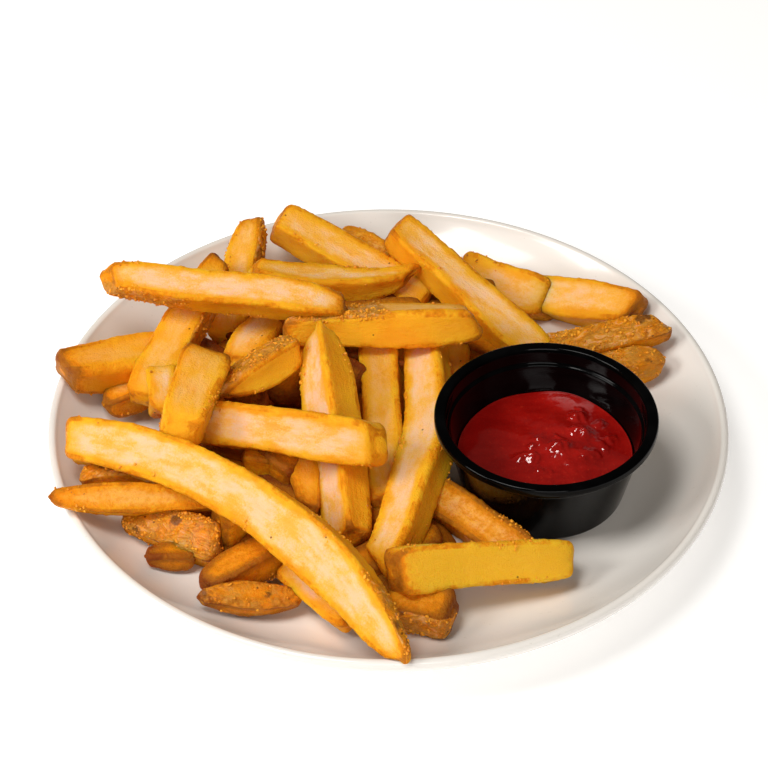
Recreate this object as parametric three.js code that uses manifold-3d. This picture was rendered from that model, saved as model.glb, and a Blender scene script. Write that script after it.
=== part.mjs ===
// A portion of thick-cut french fries on a white coupe plate, with a black portion cup of ketchup.
// Units are millimetres, +Z is up, and the origin is the centre of the plate on the table.
import * as THREE from "three";
import { mergeVertices } from "three/addons/utils/BufferGeometryUtils.js";
import Module from "manifold-3d";

// Plate: a shallow coupe with a rolled lip and a foot ring.
const PLATE_RADIUS = 95;
const PLATE_HEIGHT = 20;
const PLATE_FLOOR = 8; // height of the flat bottom of the dish
const FLAT_RADIUS = 70; // where the wall starts to rise
const LIP_THICKNESS = 2.8;
const WALL_RADII = [75, 80, 85, 89]; // rings that shape the curve of the wall
// Round the lip: [in from the rim, down from the top].
const LIP_SECTION = [[2.2, 0.2], [1.3, 0], [0.4, 0.4], [0, 1.6], [0.6, 3.6]];
// Under the wall: [radius, height].
const UNDERSIDE_SECTION = [[88, 11.6], [80, 6.8], [70, 3.9], [58, 2.8]];
const PLATE_SIDES = 48;
const FOOT_OUTER = 56;
const FOOT_INNER = 50;
const FOOT_FILLET = 1.5; // how far the inside of the foot ring leans in
const UNDERSIDE = 3.6; // height of the underside inside the foot ring
const UNDERSIDE_SAG = 0.3; // how much lower the underside is where it meets the foot ring
const UNDERSIDE_EDGE = 6; // width of the ring over which it sags

// Portion cup: thin tapered wall, a step under the mouth and a flat flange with a turned-down edge.
const CUP_X = 43;
const CUP_Y = -15.5;
const CUP_BASE = 8.3; // the cup stands on the plate with a hair of air under it
const CUP_TOP = 34.8;
const CUP_BASE_RADIUS = 22.4;
const CUP_MOUTH_RADIUS = 28.4;
const CUP_FLANGE_RADIUS = 30.6;
const CUP_WALL = 0.9;
const CUP_HOLLOW = 0.9; // height of the hollow under the base
const CUP_BASE_RING = 3; // how far in from the wall the hollow starts
const CUP_FLOOR = 1.9; // top of the cup's floor above its base
const CUP_FLOOR_RADIUS = 20;
const CUP_CORNER = 3; // height of the rounded corner between floor and wall
const CUP_STEP = 6; // how far under the mouth the step is
const CUP_STEP_WIDTH = 0.6;
const FLANGE_THICKNESS = 1.1;
const FLANGE_SKIRT = 1.2; // drop of the turned-down edge under the flange
const CUP_SIDES = 40;

// Ketchup: poured to a little over half the depth of the cup, mounded to the right of the middle.
const SAUCE_LEVEL = 21;
const SAUCE_MOUND = 2.6;
const SAUCE_MOUND_SPREAD = 110;
const SAUCE_PEAK = [5, 3]; // from the middle of the cup
const SAUCE_SWIRL = 0.5;
const SAUCE_SWIRL_SPREAD = 260;
const SAUCE_EDGE = 4; // distance from the wall over which the top flattens out
const SAUCE_SIDES = 32;
const SAUCE_RINGS = 7;

const GAP = 0.3; // air between neighbouring pieces
const EDGE = 0.5; // bevel on the edges of the cup

// Fries: each one is a bent, tapered bar of eight sides.
const FRY_SIDES = 8;
const FRY_STATIONS = [0, 0.08, 0.3, 0.55, 0.78, 0.93, 1];
const CORNER_FULLNESS = 1.6; // 1.1 would be nearly round, 2.6 a sharp rectangle
const TIP_REACH = 0.1; // share of the length over which a tip narrows
const WOBBLE = 0.04; // how much the thickness wanders along a fry

// Each row lays one fry: its name, start, end, [width, depth], roll in degrees,
// [sideways bow, upward bow], [start tip, end tip] as shares of the full thickness.
const FRIES_UNDERNEATH = [
  ["low_left", [-62, -14, 14], [-34, 8, 14], [11, 10], 0, [0, 0], [0.8, 0.8]],
  ["low_back_left", [-54, 20, 13], [-30, 50, 13], [10, 10], 0, [0, 0], [0.8, 0.8]],
  ["low_back", [-30, 60, 13], [2, 42, 14], [11, 10], 0, [0, 0], [0.8, 0.8]],
  ["low_back_right", [-8, 64, 13], [32, 59, 13], [10, 10], 0, [0, 0], [0.8, 0.8]],
  ["low_right", [12, 52, 13], [34, 30, 13], [10, 9], 0, [0, 0], [0.8, 0.8]],
  ["low_front_left", [-60, -26, 13], [-30, -12, 15], [10, 9], 0, [0, 0], [0.8, 0.8]],
  ["low_front", [-36, -38, 13], [-8, -48, 13], [11, 10], 0, [0, 0], [0.8, 0.8]],
  ["low_front_right", [-14, -56, 13], [14, -42, 13], [10, 9], 0, [0, 0], [0.8, 0.8]],
  ["low_middle", [5, -38, 13], [10, 4, 13], [9, 9], 0, [0, 0], [0.8, 0.8]],
  ["mid_left", [-48, 4, 22], [-24, -24, 20], [10, 9], 0, [0, 0], [0.8, 0.8]],
  ["mid_middle", [-30, 6, 20], [-16, 48, 20], [11, 9], 0, [0, 0], [0.8, 0.8]],
  ["mid_back", [-24, 38, 21], [12, 44, 20], [10, 9], 0, [0, 0], [0.8, 0.8]],
];
const FRIES_ON_PLATE = [
  ["far_left", [-91, 12, 26], [-60, 30, 16], [13.5, 12], 10, [0, 0], [0.7, 0.9]],
  ["left_sliver", [-80, 9, 16], [-64, 20, 14], [9, 8], 0, [0, 0], [0.6, 0.9]],
  ["back_upright", [-40, 77, 29], [-45, 36, 16], [11, 9], 10, [0, 0], [0.45, 0.9]],
  ["back_left", [-33, 78, 28], [11, 55, 15], [12, 10], 10, [0, 0], [0.9, 0.9]],
  ["back_middle", [-16, 79, 19], [11, 64, 15], [11, 10], 10, [0, 0], [0.8, 0.9]],
  ["back_right", [21, 71, 15], [49, 57, 14], [12.5, 11.5], 15, [0, 0], [0.8, 0.75]],
  ["far_right_back", [42, 63, 13], [73, 46, 20], [10, 10], 10, [0, 0], [0.8, 0.8]],
  ["right_skin", [36, 29, 13], [80, 36, 22], [10, 9], 10, [0, 0], [0.8, 0.55]],
  ["right_short", [46, 23, 13], [78, 27, 17], [9, 8.5], 0, [0, 0], [0.8, 0.7]],
  ["left_arc", [-84, -25, 19], [-61, -21, 15], [9, 8], 0, [0, 2], [0.5, 0.8]],
  ["left_skin", [-71, -34, 15], [-45, -46, 14], [12, 8], 25, [0, 0], [0.6, 0.8]],
  ["left_tip", [-65, -50, 14], [-52, -47, 12], [7, 6], 0, [0, 0], [0.6, 0.8]],
  ["under_diagonal", [-35, -32, 18], [-46, -41, 17], [12, 11], 0, [0, 0], [0.8, 0.7]],
  ["front_wedge", [-26, -46, 15], [-48.5, -61, 13.5], [12, 9], 10, [0, 0], [0.8, 0.6]],
  ["front_skin", [-50, -68, 16], [-23, -64, 13], [9.5, 8], 20, [0, 0], [0.35, 0.35]],
  ["beside_diagonal", [-26, -53, 16], [-9, -73, 16], [13, 8.5], 35, [0, 0], [0.8, 0.7]],
  ["small_orange", [-40, -17, 20], [-28, -18, 19], [9, 8.5], 0, [0, 0], [0.8, 0.7]],
  ["small_upright", [-25, -12, 21], [-21, -35, 17], [10, 9], 0, [0, 0], [0.8, 0.5]],
  ["middle_upright", [-3, 36, 21], [0, -33, 16], [11, 10], 10, [0, 0], [0.9, 0.8]],
  ["beside_cup", [10.5, 31, 21], [-2.5, -58, 18.5], [12, 10], 20, [6.5, 1], [0.9, 0.8]],
  ["cup_foot", [10, -22, 14], [38, -51, 14], [11, 9], 25, [0, 0], [0.8, 0.8]],
  ["cup_sliver", [21, 42, 14], [18, 15, 13], [8, 8], 0, [0, 0], [0.8, 0.8]],
  ["front_end", [-1, -64, 14], [17, -72, 15], [13, 10], 15, [0, 0], [0.8, 0.85]],
];
const FRIES_ON_TOP = [
  ["left_lean", [-68.5, 6, 20], [-49, 54, 32], [12.5, 9], 0, [0, 0], [0.8, 0.5]],
  ["pale_middle", [-34, 37, 22], [-43, 20, 21], [11, 9], 0, [0, 0], [0.8, 0.8]],
  ["left_pale", [-64, 14, 25], [-62, -4, 24], [9, 9], 0, [0, 0], [0.8, 0.8]],
  ["back_diagonal", [2, 75, 28], [46, 26, 15], [12, 9.5], 0, [0, 0], [0.8, 0.9]],
  ["back_curve", [-40, 53, 29], [7, 57, 26], [11, 11], -5, [-4, -3], [0.7, 0.4]],
  ["top_left", [-80, 34, 41], [-12, 28, 35.5], [11.5, 10], 22, [1, 0], [0.6, 0.5]],
  ["top_middle", [-29, 27, 29.5], [25, 28, 30.5], [12.5, 11], -28, [0, 0], [0.7, 0.8]],
  ["centre_upright", [-19, 16.5, 36], [-10, -44, 14], [13, 10.5], 54, [0, 0], [0.5, 0.75]],
  ["centre_cross", [-52, -10, 27], [-2, -28, 35], [12.5, 9.5], 46, [0, 0], [0.9, 0.85]],
  ["skin_wedge", [-46, -7, 33], [-26, 12, 34], [12, 11], -30, [0, 0], [0.4, 0.8]],
  ["stub", [-50, 6, 38], [-56, -25, 37], [14, 11], -12, [0, 0], [0.75, 0.75]],
  ["long_diagonal", [-88, -15, 25.5], [2.5, -94, 20], [14, 9.5], 40, [12, 6.5], [0.8, 0.4]],
  ["left_flat", [-91, -38, 25], [-47, -34.5, 20], [11, 7], 36, [0, 0], [0.4, 0.4]],
  ["front_yellow", [1, -65, 23.5], [48.5, -51, 15], [12.5, 8.5], 46, [0, 0], [0.95, 0.75]],
];

// The packed middle of the heap, as flattened domes: [x, y, radius along x, radius along y, height].
const CORE_DOMES = [
  [-38, 18, 26, 32, 11],
  [-8, 8, 22, 44, 12],
  [-30, -26, 30, 26, 9],
  [12, 50, 26, 16, 9],
  [2, -46, 18, 20, 8],
];
const CORE_SIDES = 16;
const CORE_RINGS = 4;

const wasm = await Module();
wasm.setup();

// A lathe turned about the vertical, from [radius, height] points that run anticlockwise in section.
function turned(points, sides) {
  const profile = points.map(([radius, height]) => new THREE.Vector2(radius, height));
  return new THREE.LatheGeometry(profile, sides).rotateX(Math.PI / 2);
}

// A closed solid for joining and cutting, with only its positions kept.
function solidFrom(geometry) {
  const bare = geometry.clone();
  bare.deleteAttribute("normal");
  bare.deleteAttribute("uv");
  const welded = mergeVertices(bare, 1e-4);
  const mesh = new wasm.Mesh({
    numProp: 3,
    vertProperties: welded.attributes.position.array,
    triVerts: new Uint32Array(welded.index.array),
  });
  return new wasm.Manifold(mesh);
}

function geometryFrom(solid) {
  const mesh = solid.getMesh();
  const geometry = new THREE.BufferGeometry();
  geometry.setAttribute("position", new THREE.BufferAttribute(new Float32Array(mesh.vertProperties), 3));
  geometry.setIndex(new THREE.BufferAttribute(new Uint32Array(mesh.triVerts), 1));
  geometry.computeVertexNormals();
  return geometry;
}

function named(name, geometry, color, roughness) {
  const mesh = new THREE.Mesh(geometry, new THREE.MeshStandardMaterial({ color, roughness, metalness: 0 }));
  mesh.name = name;
  return mesh;
}

// Height of the dish at a distance from its centre: flat, then a wall that curves up to the lip.
function dishHeight(radius) {
  const climb = Math.max(0, radius - FLAT_RADIUS) / (PLATE_RADIUS - LIP_THICKNESS - FLAT_RADIUS);
  return PLATE_FLOOR + (PLATE_HEIGHT - 1 - PLATE_FLOOR) * climb ** 2;
}

// Section of the plate. With clearance it is the space that the food and the cup keep out of.
function plateProfile(clearance) {
  const inner = [0, FLAT_RADIUS, ...WALL_RADII, PLATE_RADIUS - LIP_THICKNESS];
  const topSide = inner.map((radius) => [radius, dishHeight(radius) + clearance]);
  const lip = LIP_SECTION.map(([inward, down]) => [PLATE_RADIUS - inward, PLATE_HEIGHT - down + clearance]);
  const foot = [
    [FOOT_OUTER, 0],
    [FOOT_INNER, 0],
    [FOOT_INNER - FOOT_FILLET, UNDERSIDE - UNDERSIDE_SAG],
    [FOOT_INNER - UNDERSIDE_EDGE, UNDERSIDE],
    [0, UNDERSIDE],
  ];
  return [...topSide, ...lip, ...UNDERSIDE_SECTION, ...foot].reverse();
}

function makePlate() {
  return named("plate", turned(plateProfile(0), PLATE_SIDES), 0xf3efec, 0.25);
}

// Outside radius of the cup's tapered wall at a height.
function cupRadius(height) {
  const share = (height - CUP_BASE) / (CUP_TOP - CUP_BASE);
  return CUP_BASE_RADIUS + (CUP_MOUTH_RADIUS - CUP_BASE_RADIUS) * share;
}

function makeCup() {
  const flangeUnder = CUP_TOP - FLANGE_THICKNESS;
  const stepHeight = CUP_TOP - CUP_STEP;
  const stepRadius = cupRadius(stepHeight);
  const skirtRadius = CUP_FLANGE_RADIUS - CUP_WALL;
  const cornerTop = CUP_BASE + CUP_CORNER;
  const profile = [
    [0, CUP_BASE + CUP_HOLLOW],
    [CUP_BASE_RADIUS - CUP_BASE_RING, CUP_BASE + CUP_HOLLOW],
    [CUP_BASE_RADIUS - CUP_BASE_RING + EDGE, CUP_BASE],
    [CUP_BASE_RADIUS - EDGE, CUP_BASE],
    [CUP_BASE_RADIUS, CUP_BASE + EDGE],
    [stepRadius, stepHeight],
    [stepRadius + CUP_STEP_WIDTH, stepHeight + EDGE],
    [cupRadius(flangeUnder), flangeUnder],
    [skirtRadius, flangeUnder],
    [skirtRadius, flangeUnder - FLANGE_SKIRT],
    [CUP_FLANGE_RADIUS, flangeUnder - FLANGE_SKIRT],
    [CUP_FLANGE_RADIUS, CUP_TOP - EDGE],
    [CUP_FLANGE_RADIUS - EDGE, CUP_TOP],
    [CUP_MOUTH_RADIUS - CUP_WALL + EDGE, CUP_TOP],
    [CUP_MOUTH_RADIUS - CUP_WALL, CUP_TOP - EDGE],
    [stepRadius - CUP_WALL + CUP_STEP_WIDTH, stepHeight + EDGE],
    [stepRadius - CUP_WALL, stepHeight],
    [cupRadius(cornerTop) - CUP_WALL, cornerTop],
    [CUP_FLOOR_RADIUS, CUP_BASE + CUP_FLOOR],
    [0, CUP_BASE + CUP_FLOOR],
  ];
  const cup = named("dip_cup", turned(profile, CUP_SIDES), 0x0c0c0d, 0.22);
  cup.position.set(CUP_X, CUP_Y, 0);
  return cup;
}

// Height of the ketchup: a swirled mound right of the middle, lower where it meets the wall.
function sauceHeight(x, y) {
  const mound = Math.exp(-((x - SAUCE_PEAK[0]) ** 2 + (y - SAUCE_PEAK[1]) ** 2) / SAUCE_MOUND_SPREAD);
  const swirl = Math.sin(0.32 * x + 0.5 * y + 1.2) * Math.exp(-(x ** 2 + y ** 2) / SAUCE_SWIRL_SPREAD);
  return SAUCE_LEVEL + SAUCE_MOUND * mound + SAUCE_SWIRL * swirl;
}

function makeKetchup() {
  const bottom = CUP_BASE + CUP_FLOOR + GAP;
  const cornerTop = CUP_BASE + CUP_CORNER;
  const wallInside = (height) => cupRadius(height) - CUP_WALL - GAP;
  const edgeRadius = wallInside(SAUCE_LEVEL);
  const profile = [
    [0, bottom],
    [CUP_FLOOR_RADIUS - GAP, bottom],
    [wallInside(cornerTop), cornerTop + GAP],
    [edgeRadius, SAUCE_LEVEL],
  ];
  for (let ring = SAUCE_RINGS - 1; ring >= 0; ring--) {
    profile.push([edgeRadius * (ring / SAUCE_RINGS), SAUCE_LEVEL]);
  }
  const geometry = turned(profile, SAUCE_SIDES);
  const position = geometry.attributes.position;
  for (let i = 0; i < position.count; i++) {
    if (position.getZ(i) > cornerTop + 2 * GAP) {
      const x = position.getX(i);
      const y = position.getY(i);
      const fromWall = edgeRadius - Math.hypot(x, y);
      const rise = sauceHeight(x, y) - SAUCE_LEVEL;
      position.setZ(i, SAUCE_LEVEL + rise * Math.min(1, fromWall / SAUCE_EDGE));
    }
  }
  geometry.computeVertexNormals();
  const ketchup = named("ketchup", geometry, 0x9c0d0f, 0.12);
  ketchup.position.set(CUP_X, CUP_Y, 0);
  return ketchup;
}

const clampUnit = (value) => Math.max(-1, Math.min(1, value));

// One fry: a unit drum of eight sides, squared off, thinned to its tips and bent along its bowed axis.
function fryGeometry([, start, end, [width, depth], roll, [bowSide, bowUp], [tipStart, tipEnd]], index) {
  const spans = FRY_STATIONS.length - 1;
  const geometry = new THREE.CylinderGeometry(1, 1, spans, FRY_SIDES, spans, false, Math.PI / FRY_SIDES);
  const from = new THREE.Vector3(...start);
  const along = new THREE.Vector3(...end).sub(from);
  const up = new THREE.Vector3(0, 0, 1);
  const bow = up.clone().cross(along).normalize().multiplyScalar(bowSide);
  bow.add(along.clone().cross(up).cross(along).normalize().multiplyScalar(bowUp));
  const position = geometry.attributes.position;
  for (let i = 0; i < position.count; i++) {
    const t = FRY_STATIONS[Math.round(position.getY(i) + spans / 2)];
    const startNarrowing = (1 - tipStart) * Math.exp(-t / TIP_REACH);
    const endNarrowing = (1 - tipEnd) * Math.exp((t - 1) / TIP_REACH);
    const thickness = 1 - startNarrowing - endNarrowing + WOBBLE * Math.sin(2.4 * index + 8 * t);
    const tangent = along.clone().addScaledVector(bow, 4 * (1 - 2 * t)).normalize();
    const across = tangent.clone().cross(up).normalize();
    across.applyAxisAngle(tangent, THREE.MathUtils.degToRad(roll));
    const above = across.clone().cross(tangent);
    const sideways = (clampUnit(CORNER_FULLNESS * position.getX(i)) * width * thickness) / 2;
    const upwards = (clampUnit(CORNER_FULLNESS * position.getZ(i)) * depth * thickness) / 2;
    const point = from.clone().addScaledVector(along, t).addScaledVector(bow, 4 * t * (1 - t));
    point.addScaledVector(across, sideways).addScaledVector(above, upwards);
    position.setXYZ(i, point.x, point.y, point.z);
  }
  return geometry;
}

// One flattened dome of the packed middle, standing on the dish.
function domeGeometry([x, y, radiusX, radiusY, height]) {
  const profile = [[0, 0]];
  for (let ring = 0; ring <= CORE_RINGS; ring++) {
    const angle = (Math.PI / 2) * (ring / CORE_RINGS);
    profile.push([Math.cos(angle), Math.sin(angle)]);
  }
  profile[profile.length - 1][0] = 0;
  return turned(profile, CORE_SIDES).scale(radiusX, radiusY, height).translate(x, y, PLATE_FLOOR);
}

function makeFries() {
  const rows = [...FRIES_UNDERNEATH, ...FRIES_ON_PLATE, ...FRIES_ON_TOP];
  const fries = rows.map((row, index) => solidFrom(fryGeometry(row, index)));
  let heap = solidFrom(domeGeometry(CORE_DOMES[0]));
  for (const dome of CORE_DOMES.slice(1)) {
    heap = heap.add(solidFrom(domeGeometry(dome)));
  }
  for (const fry of fries) {
    heap = heap.add(fry);
  }
  const dishSpace = solidFrom(turned(plateProfile(GAP), PLATE_SIDES));
  const cupSpace = new THREE.CylinderGeometry(
    cupRadius(CUP_TOP) + 2 * GAP,
    CUP_BASE_RADIUS + 2 * GAP,
    CUP_TOP - CUP_BASE,
    CUP_SIDES,
  );
  cupSpace.rotateX(Math.PI / 2);
  cupSpace.translate(CUP_X, CUP_Y, (CUP_TOP + CUP_BASE) / 2);
  heap = heap.subtract(dishSpace).subtract(solidFrom(cupSpace));
  const pieces = heap.decompose().sort((a, b) => b.volume() - a.volume());
  return named("fries", geometryFrom(pieces[0]), 0xe5a13c, 0.6);
}

const portion = new THREE.Group();
portion.add(makePlate());
portion.add(makeCup());
portion.add(makeKetchup());
portion.add(makeFries());

export default portion;
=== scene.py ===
"""A portion of thick-cut french fries on a white plate, with a black portion cup of ketchup.

The file is laid out as a Blender add-on and run as a script. Rows and profiles are in
millimetres, and meshes in metres.
"""

import math
import random

import bpy
import numpy as np
from bpy.props import FloatProperty, FloatVectorProperty, IntProperty, PointerProperty
from mathutils import Matrix, Vector, noise


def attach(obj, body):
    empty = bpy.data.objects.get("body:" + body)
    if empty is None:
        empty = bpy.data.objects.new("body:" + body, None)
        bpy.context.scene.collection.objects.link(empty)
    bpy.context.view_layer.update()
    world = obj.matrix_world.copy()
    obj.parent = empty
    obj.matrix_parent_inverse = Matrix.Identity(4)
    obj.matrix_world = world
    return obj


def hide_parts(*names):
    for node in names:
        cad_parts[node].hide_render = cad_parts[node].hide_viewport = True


bl_info = {
    "name": "Fries with ketchup",
    "version": (1, 0, 0),
    "blender": (4, 5, 0),
    "location": "3D View > Sidebar > Fries",
    "description": "Builds a plate of fries with a cup of ketchup, and the stage it stands on",
    "category": "Add Mesh",
}

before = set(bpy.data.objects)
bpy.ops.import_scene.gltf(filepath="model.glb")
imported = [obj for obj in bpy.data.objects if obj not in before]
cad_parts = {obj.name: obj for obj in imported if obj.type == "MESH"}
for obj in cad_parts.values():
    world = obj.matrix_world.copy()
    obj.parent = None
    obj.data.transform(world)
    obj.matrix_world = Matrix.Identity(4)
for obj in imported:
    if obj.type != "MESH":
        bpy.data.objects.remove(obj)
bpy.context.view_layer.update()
MM = 0.001

# Each row lays one fry: its name, start, end, [width, depth], roll in degrees,
# [sideways bow, upward bow], [start tip, end tip] as shares of the full thickness.
FRIES_UNDERNEATH = [
    ["low_left", [-62, -14, 14], [-34, 8, 14], [11, 10], 0, [0, 0], [0.8, 0.8]],
    ["low_back_left", [-54, 20, 13], [-30, 50, 13], [10, 10], 0, [0, 0], [0.8, 0.8]],
    ["low_back", [-30, 60, 13], [2, 42, 14], [11, 10], 0, [0, 0], [0.8, 0.8]],
    ["low_back_right", [-8, 64, 13], [32, 59, 13], [10, 10], 0, [0, 0], [0.8, 0.8]],
    ["low_right", [12, 52, 13], [34, 30, 13], [10, 9], 0, [0, 0], [0.8, 0.8]],
    ["low_front_left", [-60, -26, 13], [-30, -12, 15], [10, 9], 0, [0, 0], [0.8, 0.8]],
    ["low_front", [-36, -38, 12.5], [-8, -48, 12], [11, 8.5], 0, [0, 0], [0.8, 0.8]],
    ["low_front_right", [-14, -56, 13], [14, -42, 13], [10, 9], 0, [0, 0], [0.8, 0.8]],
    ["low_middle", [5, -38, 13], [10, 4, 13], [9, 9], 0, [0, 0], [0.8, 0.8]],
    ["mid_left", [-48, 4, 22], [-24, -24, 20], [10, 9], 0, [0, 0], [0.8, 0.8]],
    ["mid_middle", [-30, 6, 20], [-16, 48, 20], [11, 9], 0, [0, 0], [0.8, 0.8]],
    ["mid_back", [-24, 38, 21], [12, 44, 20], [10, 9], 0, [0, 0], [0.8, 0.8]],
]
FRIES_FILLING = [
    ["filling_1", [-58, 37, 14], [-40, 10, 17], [11, 10], 10, [0, 0], [0.8, 0.8]],
    ["filling_2", [-46, 40, 15], [-16, 36, 20], [11, 10], 0, [0, 0], [0.8, 0.8]],
    ["filling_3", [-34, 24, 19], [-6, 12, 19], [11, 10], 15, [0, 0], [0.8, 0.8]],
    ["filling_4", [-20, 30, 17], [14, 22, 18], [10, 10], 0, [0, 0], [0.8, 0.8]],
    ["filling_5", [-62, -2, 16], [-36, -14, 17], [10, 10], 0, [0, 0], [0.8, 0.8]],
    ["filling_6", [-46, -20, 12.5], [-16, -36, 13], [11, 10], 10, [0, 0], [0.8, 0.8]],
    ["filling_7", [-14, -6, 12.5], [14, -18, 12.5], [10, 10], 0, [0, 0], [0.8, 0.8]],
    ["filling_8", [-18, -42, 12], [8, -30, 12], [10, 8.5], 0, [0, 0], [0.8, 0.8]],
    ["filling_9", [-34, 52, 17], [4, 48, 17], [11, 10], 0, [0, 0], [0.8, 0.8]],
    ["filling_10", [-52, 14, 22], [-34, -4, 24], [10, 9], 20, [0, 0], [0.8, 0.8]],
]
FRIES_ON_PLATE = [
    ["far_left", [-91, 12, 26], [-60, 30, 16], [13.5, 12], 10, [0, 0], [0.7, 0.9]],
    ["left_sliver", [-80, 9, 16], [-64, 20, 14], [9, 8], 0, [0, 0], [0.6, 0.9]],
    ["back_upright", [-40, 77, 29], [-47, 36, 16], [11, 9], 10, [0, 0], [0.45, 0.9]],
    ["back_left", [-33, 78, 28], [11, 55, 15], [12, 10], 10, [0, 0], [0.9, 0.9]],
    ["back_middle", [-16, 79, 19], [11, 64, 15], [11, 10], 10, [0, 0], [0.8, 0.9]],
    ["back_right", [21, 71, 15], [49, 57, 14], [13, 10], 38, [0, 0], [0.8, 0.75]],
    ["far_right_back", [42, 63, 13.5], [73, 46, 20], [12, 9], 38, [0, 0], [0.8, 0.8]],
    ["right_skin", [36, 29, 13], [80, 36, 22], [10, 9], 10, [0, 0], [0.8, 0.55]],
    ["right_short", [46, 23, 13], [78, 27, 17], [9, 8.5], 0, [0, 0], [0.8, 0.7]],
    ["left_arc", [-84, -25, 19], [-61, -21, 15], [9, 8], 0, [0, 2], [0.5, 0.8]],
    ["left_skin", [-71, -34, 15], [-45, -46, 14], [12, 8], 25, [0, 0], [0.6, 0.8]],
    ["left_tip", [-65, -50, 14], [-52, -47, 12], [7, 6], 0, [0, 0], [0.6, 0.8]],
    ["under_diagonal", [-35, -32, 18], [-46, -41, 17], [12, 11], 0, [0, 0], [0.8, 0.7]],
    ["front_wedge", [-26, -46, 15], [-48.5, -61, 13.5], [12, 9], 10, [0, 0], [0.8, 0.6]],
    ["front_skin", [-50, -68, 16], [-23, -64, 13], [9.5, 8], 20, [0, 0], [0.35, 0.35]],
    ["beside_diagonal", [-26, -53, 16], [-9, -73, 16], [13, 8.5], 35, [0, 0], [0.8, 0.7]],
    ["small_orange", [-40, -17, 20], [-28, -18, 19], [9, 8.5], 0, [0, 0], [0.8, 0.7]],
    ["small_upright", [-25, -12, 21], [-21, -35, 17], [10, 9], 0, [0, 0], [0.8, 0.5]],
    ["middle_upright", [-3, 36, 21], [0, -33, 16], [11, 10], 10, [0, 0], [0.9, 0.8]],
    ["beside_cup", [10.5, 31, 21], [-2.5, -58, 18.5], [12, 10], 20, [6.5, 1], [0.9, 0.8]],
    ["cup_foot", [10, -22, 14], [38, -51, 14], [11, 9], 25, [0, 0], [0.8, 0.8]],
    ["cup_sliver", [21, 42, 14], [18, 15, 13], [8, 8], 0, [0, 0], [0.8, 0.8]],
    ["front_end", [-1, -64, 13.5], [17, -72, 14], [13, 9.5], 15, [0, 0], [0.8, 0.85]],
]
FRIES_ON_TOP = [
    ["left_lean", [-68.5, 6, 20], [-49, 54, 32], [12.5, 9], 0, [0, 0], [0.8, 0.5]],
    ["pale_middle", [-34, 37, 22], [-43, 20, 21], [11, 9], 0, [0, 0], [0.8, 0.8]],
    ["left_pale", [-64, 14, 25], [-62, -4, 24], [9, 9], 0, [0, 0], [0.8, 0.8]],
    ["back_diagonal", [2, 75, 28], [46, 26, 15], [12, 9.5], 0, [0, 0], [0.8, 0.9]],
    ["back_curve", [-40, 53, 29], [7, 57, 26], [11, 11], -5, [-4, -3], [0.7, 0.4]],
    ["top_left", [-80, 34, 41], [-12, 28, 35.5], [11.5, 10], 22, [1, 0], [0.6, 0.5]],
    ["top_middle", [-29, 27, 29.5], [25, 28, 30.5], [12.5, 11], -28, [0, 0], [0.7, 0.8]],
    ["centre_upright", [-19, 16.5, 36], [-10, -46, 16], [13, 10.5], 54, [0, 0], [0.5, 0.75]],
    ["centre_cross", [-52, -10, 27], [-2, -28, 35], [12.5, 9.5], 46, [0, 0], [0.9, 0.85]],
    ["skin_wedge", [-46, -7, 33], [-26, 12, 34], [12, 11], -30, [0, 0], [0.4, 0.8]],
    ["stub", [-50, 6, 38], [-56, -25, 37], [14, 11], -12, [0, 0], [0.75, 0.75]],
    ["long_diagonal", [-88, -15, 25.5], [2.5, -94, 20], [14, 9.5], 40, [12, 6.5], [0.8, 0.4]],
    ["left_flat", [-91, -38, 25], [-47, -34.5, 20], [11, 7], 36, [0, 0], [0.4, 0.4]],
    ["front_yellow", [1, -65, 23.5], [48.5, -51, 15], [12.5, 8.5], 46, [0, 0], [0.95, 0.75]],
]
# The middle of the heap under the fries, as flattened domes: [x, y, radius along x, radius along y, height].
CORE_DOMES = [
    [-38, 18, 26, 32, 11],
    [-8, 8, 22, 44, 12],
    [-30, -26, 30, 26, 9],
    [12, 50, 26, 16, 9],
    [2, -46, 18, 20, 8],
]
CORE_PAINTED_SHADE = 1.6  # how dark brown the core is painted, as painted shade in the gaps of the heap
CORE_GAP = 4.0  # its distance from an edge, so that no edge shows on it
FRY_TIP_REACH = 0.1  # share of the length over which a tip narrows
FRY_WOBBLE = 0.04  # how much the thickness wanders along a fry
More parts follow.
